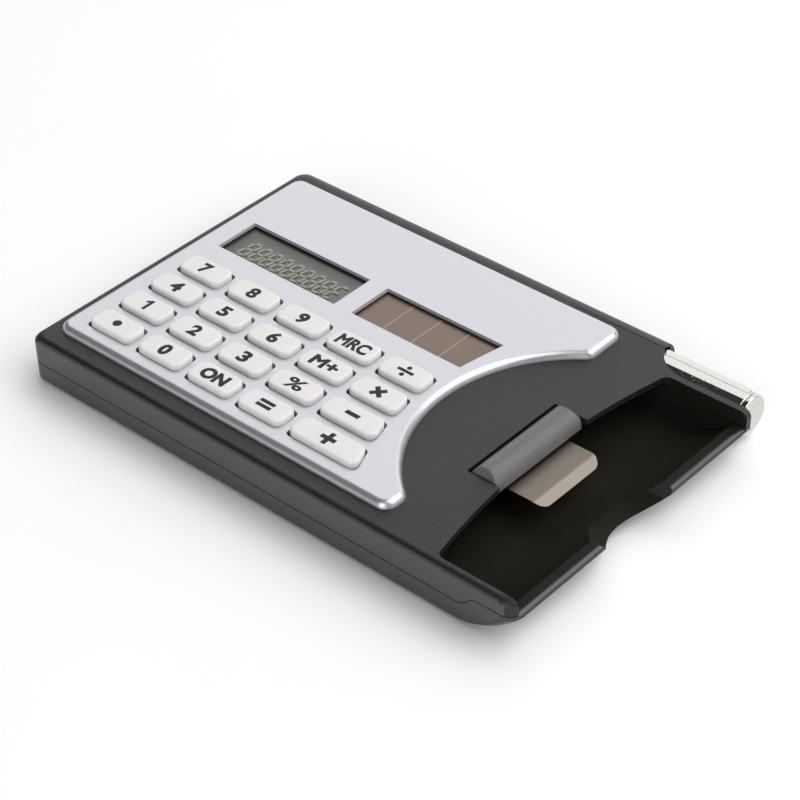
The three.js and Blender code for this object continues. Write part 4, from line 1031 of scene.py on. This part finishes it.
def plug(low, high):
    """A disc with a rounded rim."""
    r = (high.z - low.z) / 2
    start = [(high.x - 0.75 * MM, r - 0.3 * MM), (high.x - 0.7 * MM, r)]
    return [*start, *rounded_end(high.x, r, 0.25 * MM), (high.x, r - 0.8 * MM)]


def ring(low, high):
    """A narrow band with its two edges taken off."""
    r = (high.z - low.z) / 2
    return [(low.x, r - 0.2 * MM), (low.x + CHAMFER, r), (high.x - CHAMFER, r), (high.x, r - 0.2 * MM)]


def refill(low, high):
    """A ball point, its thin socket and a step up to the ink tube, as (millimetres in, radius in millimetres)."""
    r = (high.z - low.z) / 2
    ends = [(0.0, 0.08), (0.25, 0.28), (0.5, 0.34), (1.6, 0.6), (5.2, 0.6), (6.2, 1.5)]
    return [(low.x + x * MM, radius * MM) for x, radius in ends] + [(high.x, r)]


print("a rounded end has", len(rounded_end(0, 1, 0.1)), "rings")

# %% Turn the pen
pen_piece("pen_barrel", "chrome", CHROME, barrel)
pen_piece("pen_nose", "chrome", CHROME, nose)
pen_piece("pen_plug", "chrome", CHROME, plug)
pen_piece("pen_ring", "brass_ring", BRASS, ring)
pen_piece("pen_refill", "ink_tube", TUBE, refill)
print("five turned pieces")

# %% [markdown]
# ## The clip
#
# A strip of thin chromed sheet, pressed to a low arch, lies along the barrel on its upper far side. Its edges meet
# the barrel, and its end slopes down to it.

# %% An arched strip along the barrel
CLIP_ANGLE = math.radians(30)  # from straight up towards the far side
CLIP_GAP = 0.02 * MM  # between the clip and the barrel
CLIP_FALL = 0.9  # share of the rise that is gone at the clip's end
clip_low, clip_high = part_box("pen_clip")


def clip_mesh(name, half_mm=1.2, rise_mm=0.5, slope_mm=1.5):
    """Sections across the barrel. The lower side follows the barrel; the upper side stands above it by the rise
    times (1 - u squared), with u from -1 to 1 across. Near the right end the rise falls off as a square."""
    u = np.linspace(-1, 1, 25)
    across = half_mm * MM * u
    lower = np.sqrt((PEN_RADIUS + CLIP_GAP) ** 2 - across**2)
    start = clip_high.x - slope_mm * MM
    x = np.concatenate([[clip_low.x], start + slope_mm * MM * np.linspace(0, 1, 10)])
    fall = 1 - CLIP_FALL * np.clip((x - start) / (slope_mm * MM), 0, 1) ** 2
    upper = lower + CLIP_GAP + rise_mm * MM * fall[:, None] * (1 - u**2)
    tangent = np.broadcast_to(np.concatenate([across, across[::-1]]), (len(x), 2 * len(u)))
    outward = np.concatenate([np.broadcast_to(lower, upper.shape), upper[:, ::-1]], axis=1)
    y = PEN_Y + tangent * math.cos(CLIP_ANGLE) + outward * math.sin(CLIP_ANGLE)
    z = PEN_Z - tangent * math.sin(CLIP_ANGLE) + outward * math.cos(CLIP_ANGLE)
    return closed_rings(name, np.stack([np.broadcast_to(x[:, None], y.shape), y, z], axis=-1))


show("pen_clip_strip", clip_mesh("pen_clip_strip"), "pen", "chrome", CHROME, "pen_clip")
print("clip drawn")

# %% [markdown]
# ## Finishes for what lies inside
#
# The other solids keep their own shape. Each one gets the finish of what it is made of.

# %% Give the inner solids their finish
INNER = {
    "key_mat": SILICONE, "circuit_board": BOARD, "chip_cover": EPOXY, "display_connector": LAYERED_RUBBER,
    "display": DISPLAY, "solar_cell": SOLAR, "solar_contact_left": NICKEL, "solar_contact_right": NICKEL,
    "button_cell": NICKEL, "cell_contact_lower": NICKEL, "cell_contact_side": NICKEL, "divider": ABS_BAY,
    "screw_1": ZINC, "screw_2": ZINC, "screw_3": ZINC, "screw_4": ZINC,
}
for name, material in INNER.items():
    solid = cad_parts[name]
    solid.data.materials.clear()
    solid.data.materials.append(material)
print(len(INNER), "inner solids")

# %% [markdown]
# ## The end
#

# %% End
print("done")
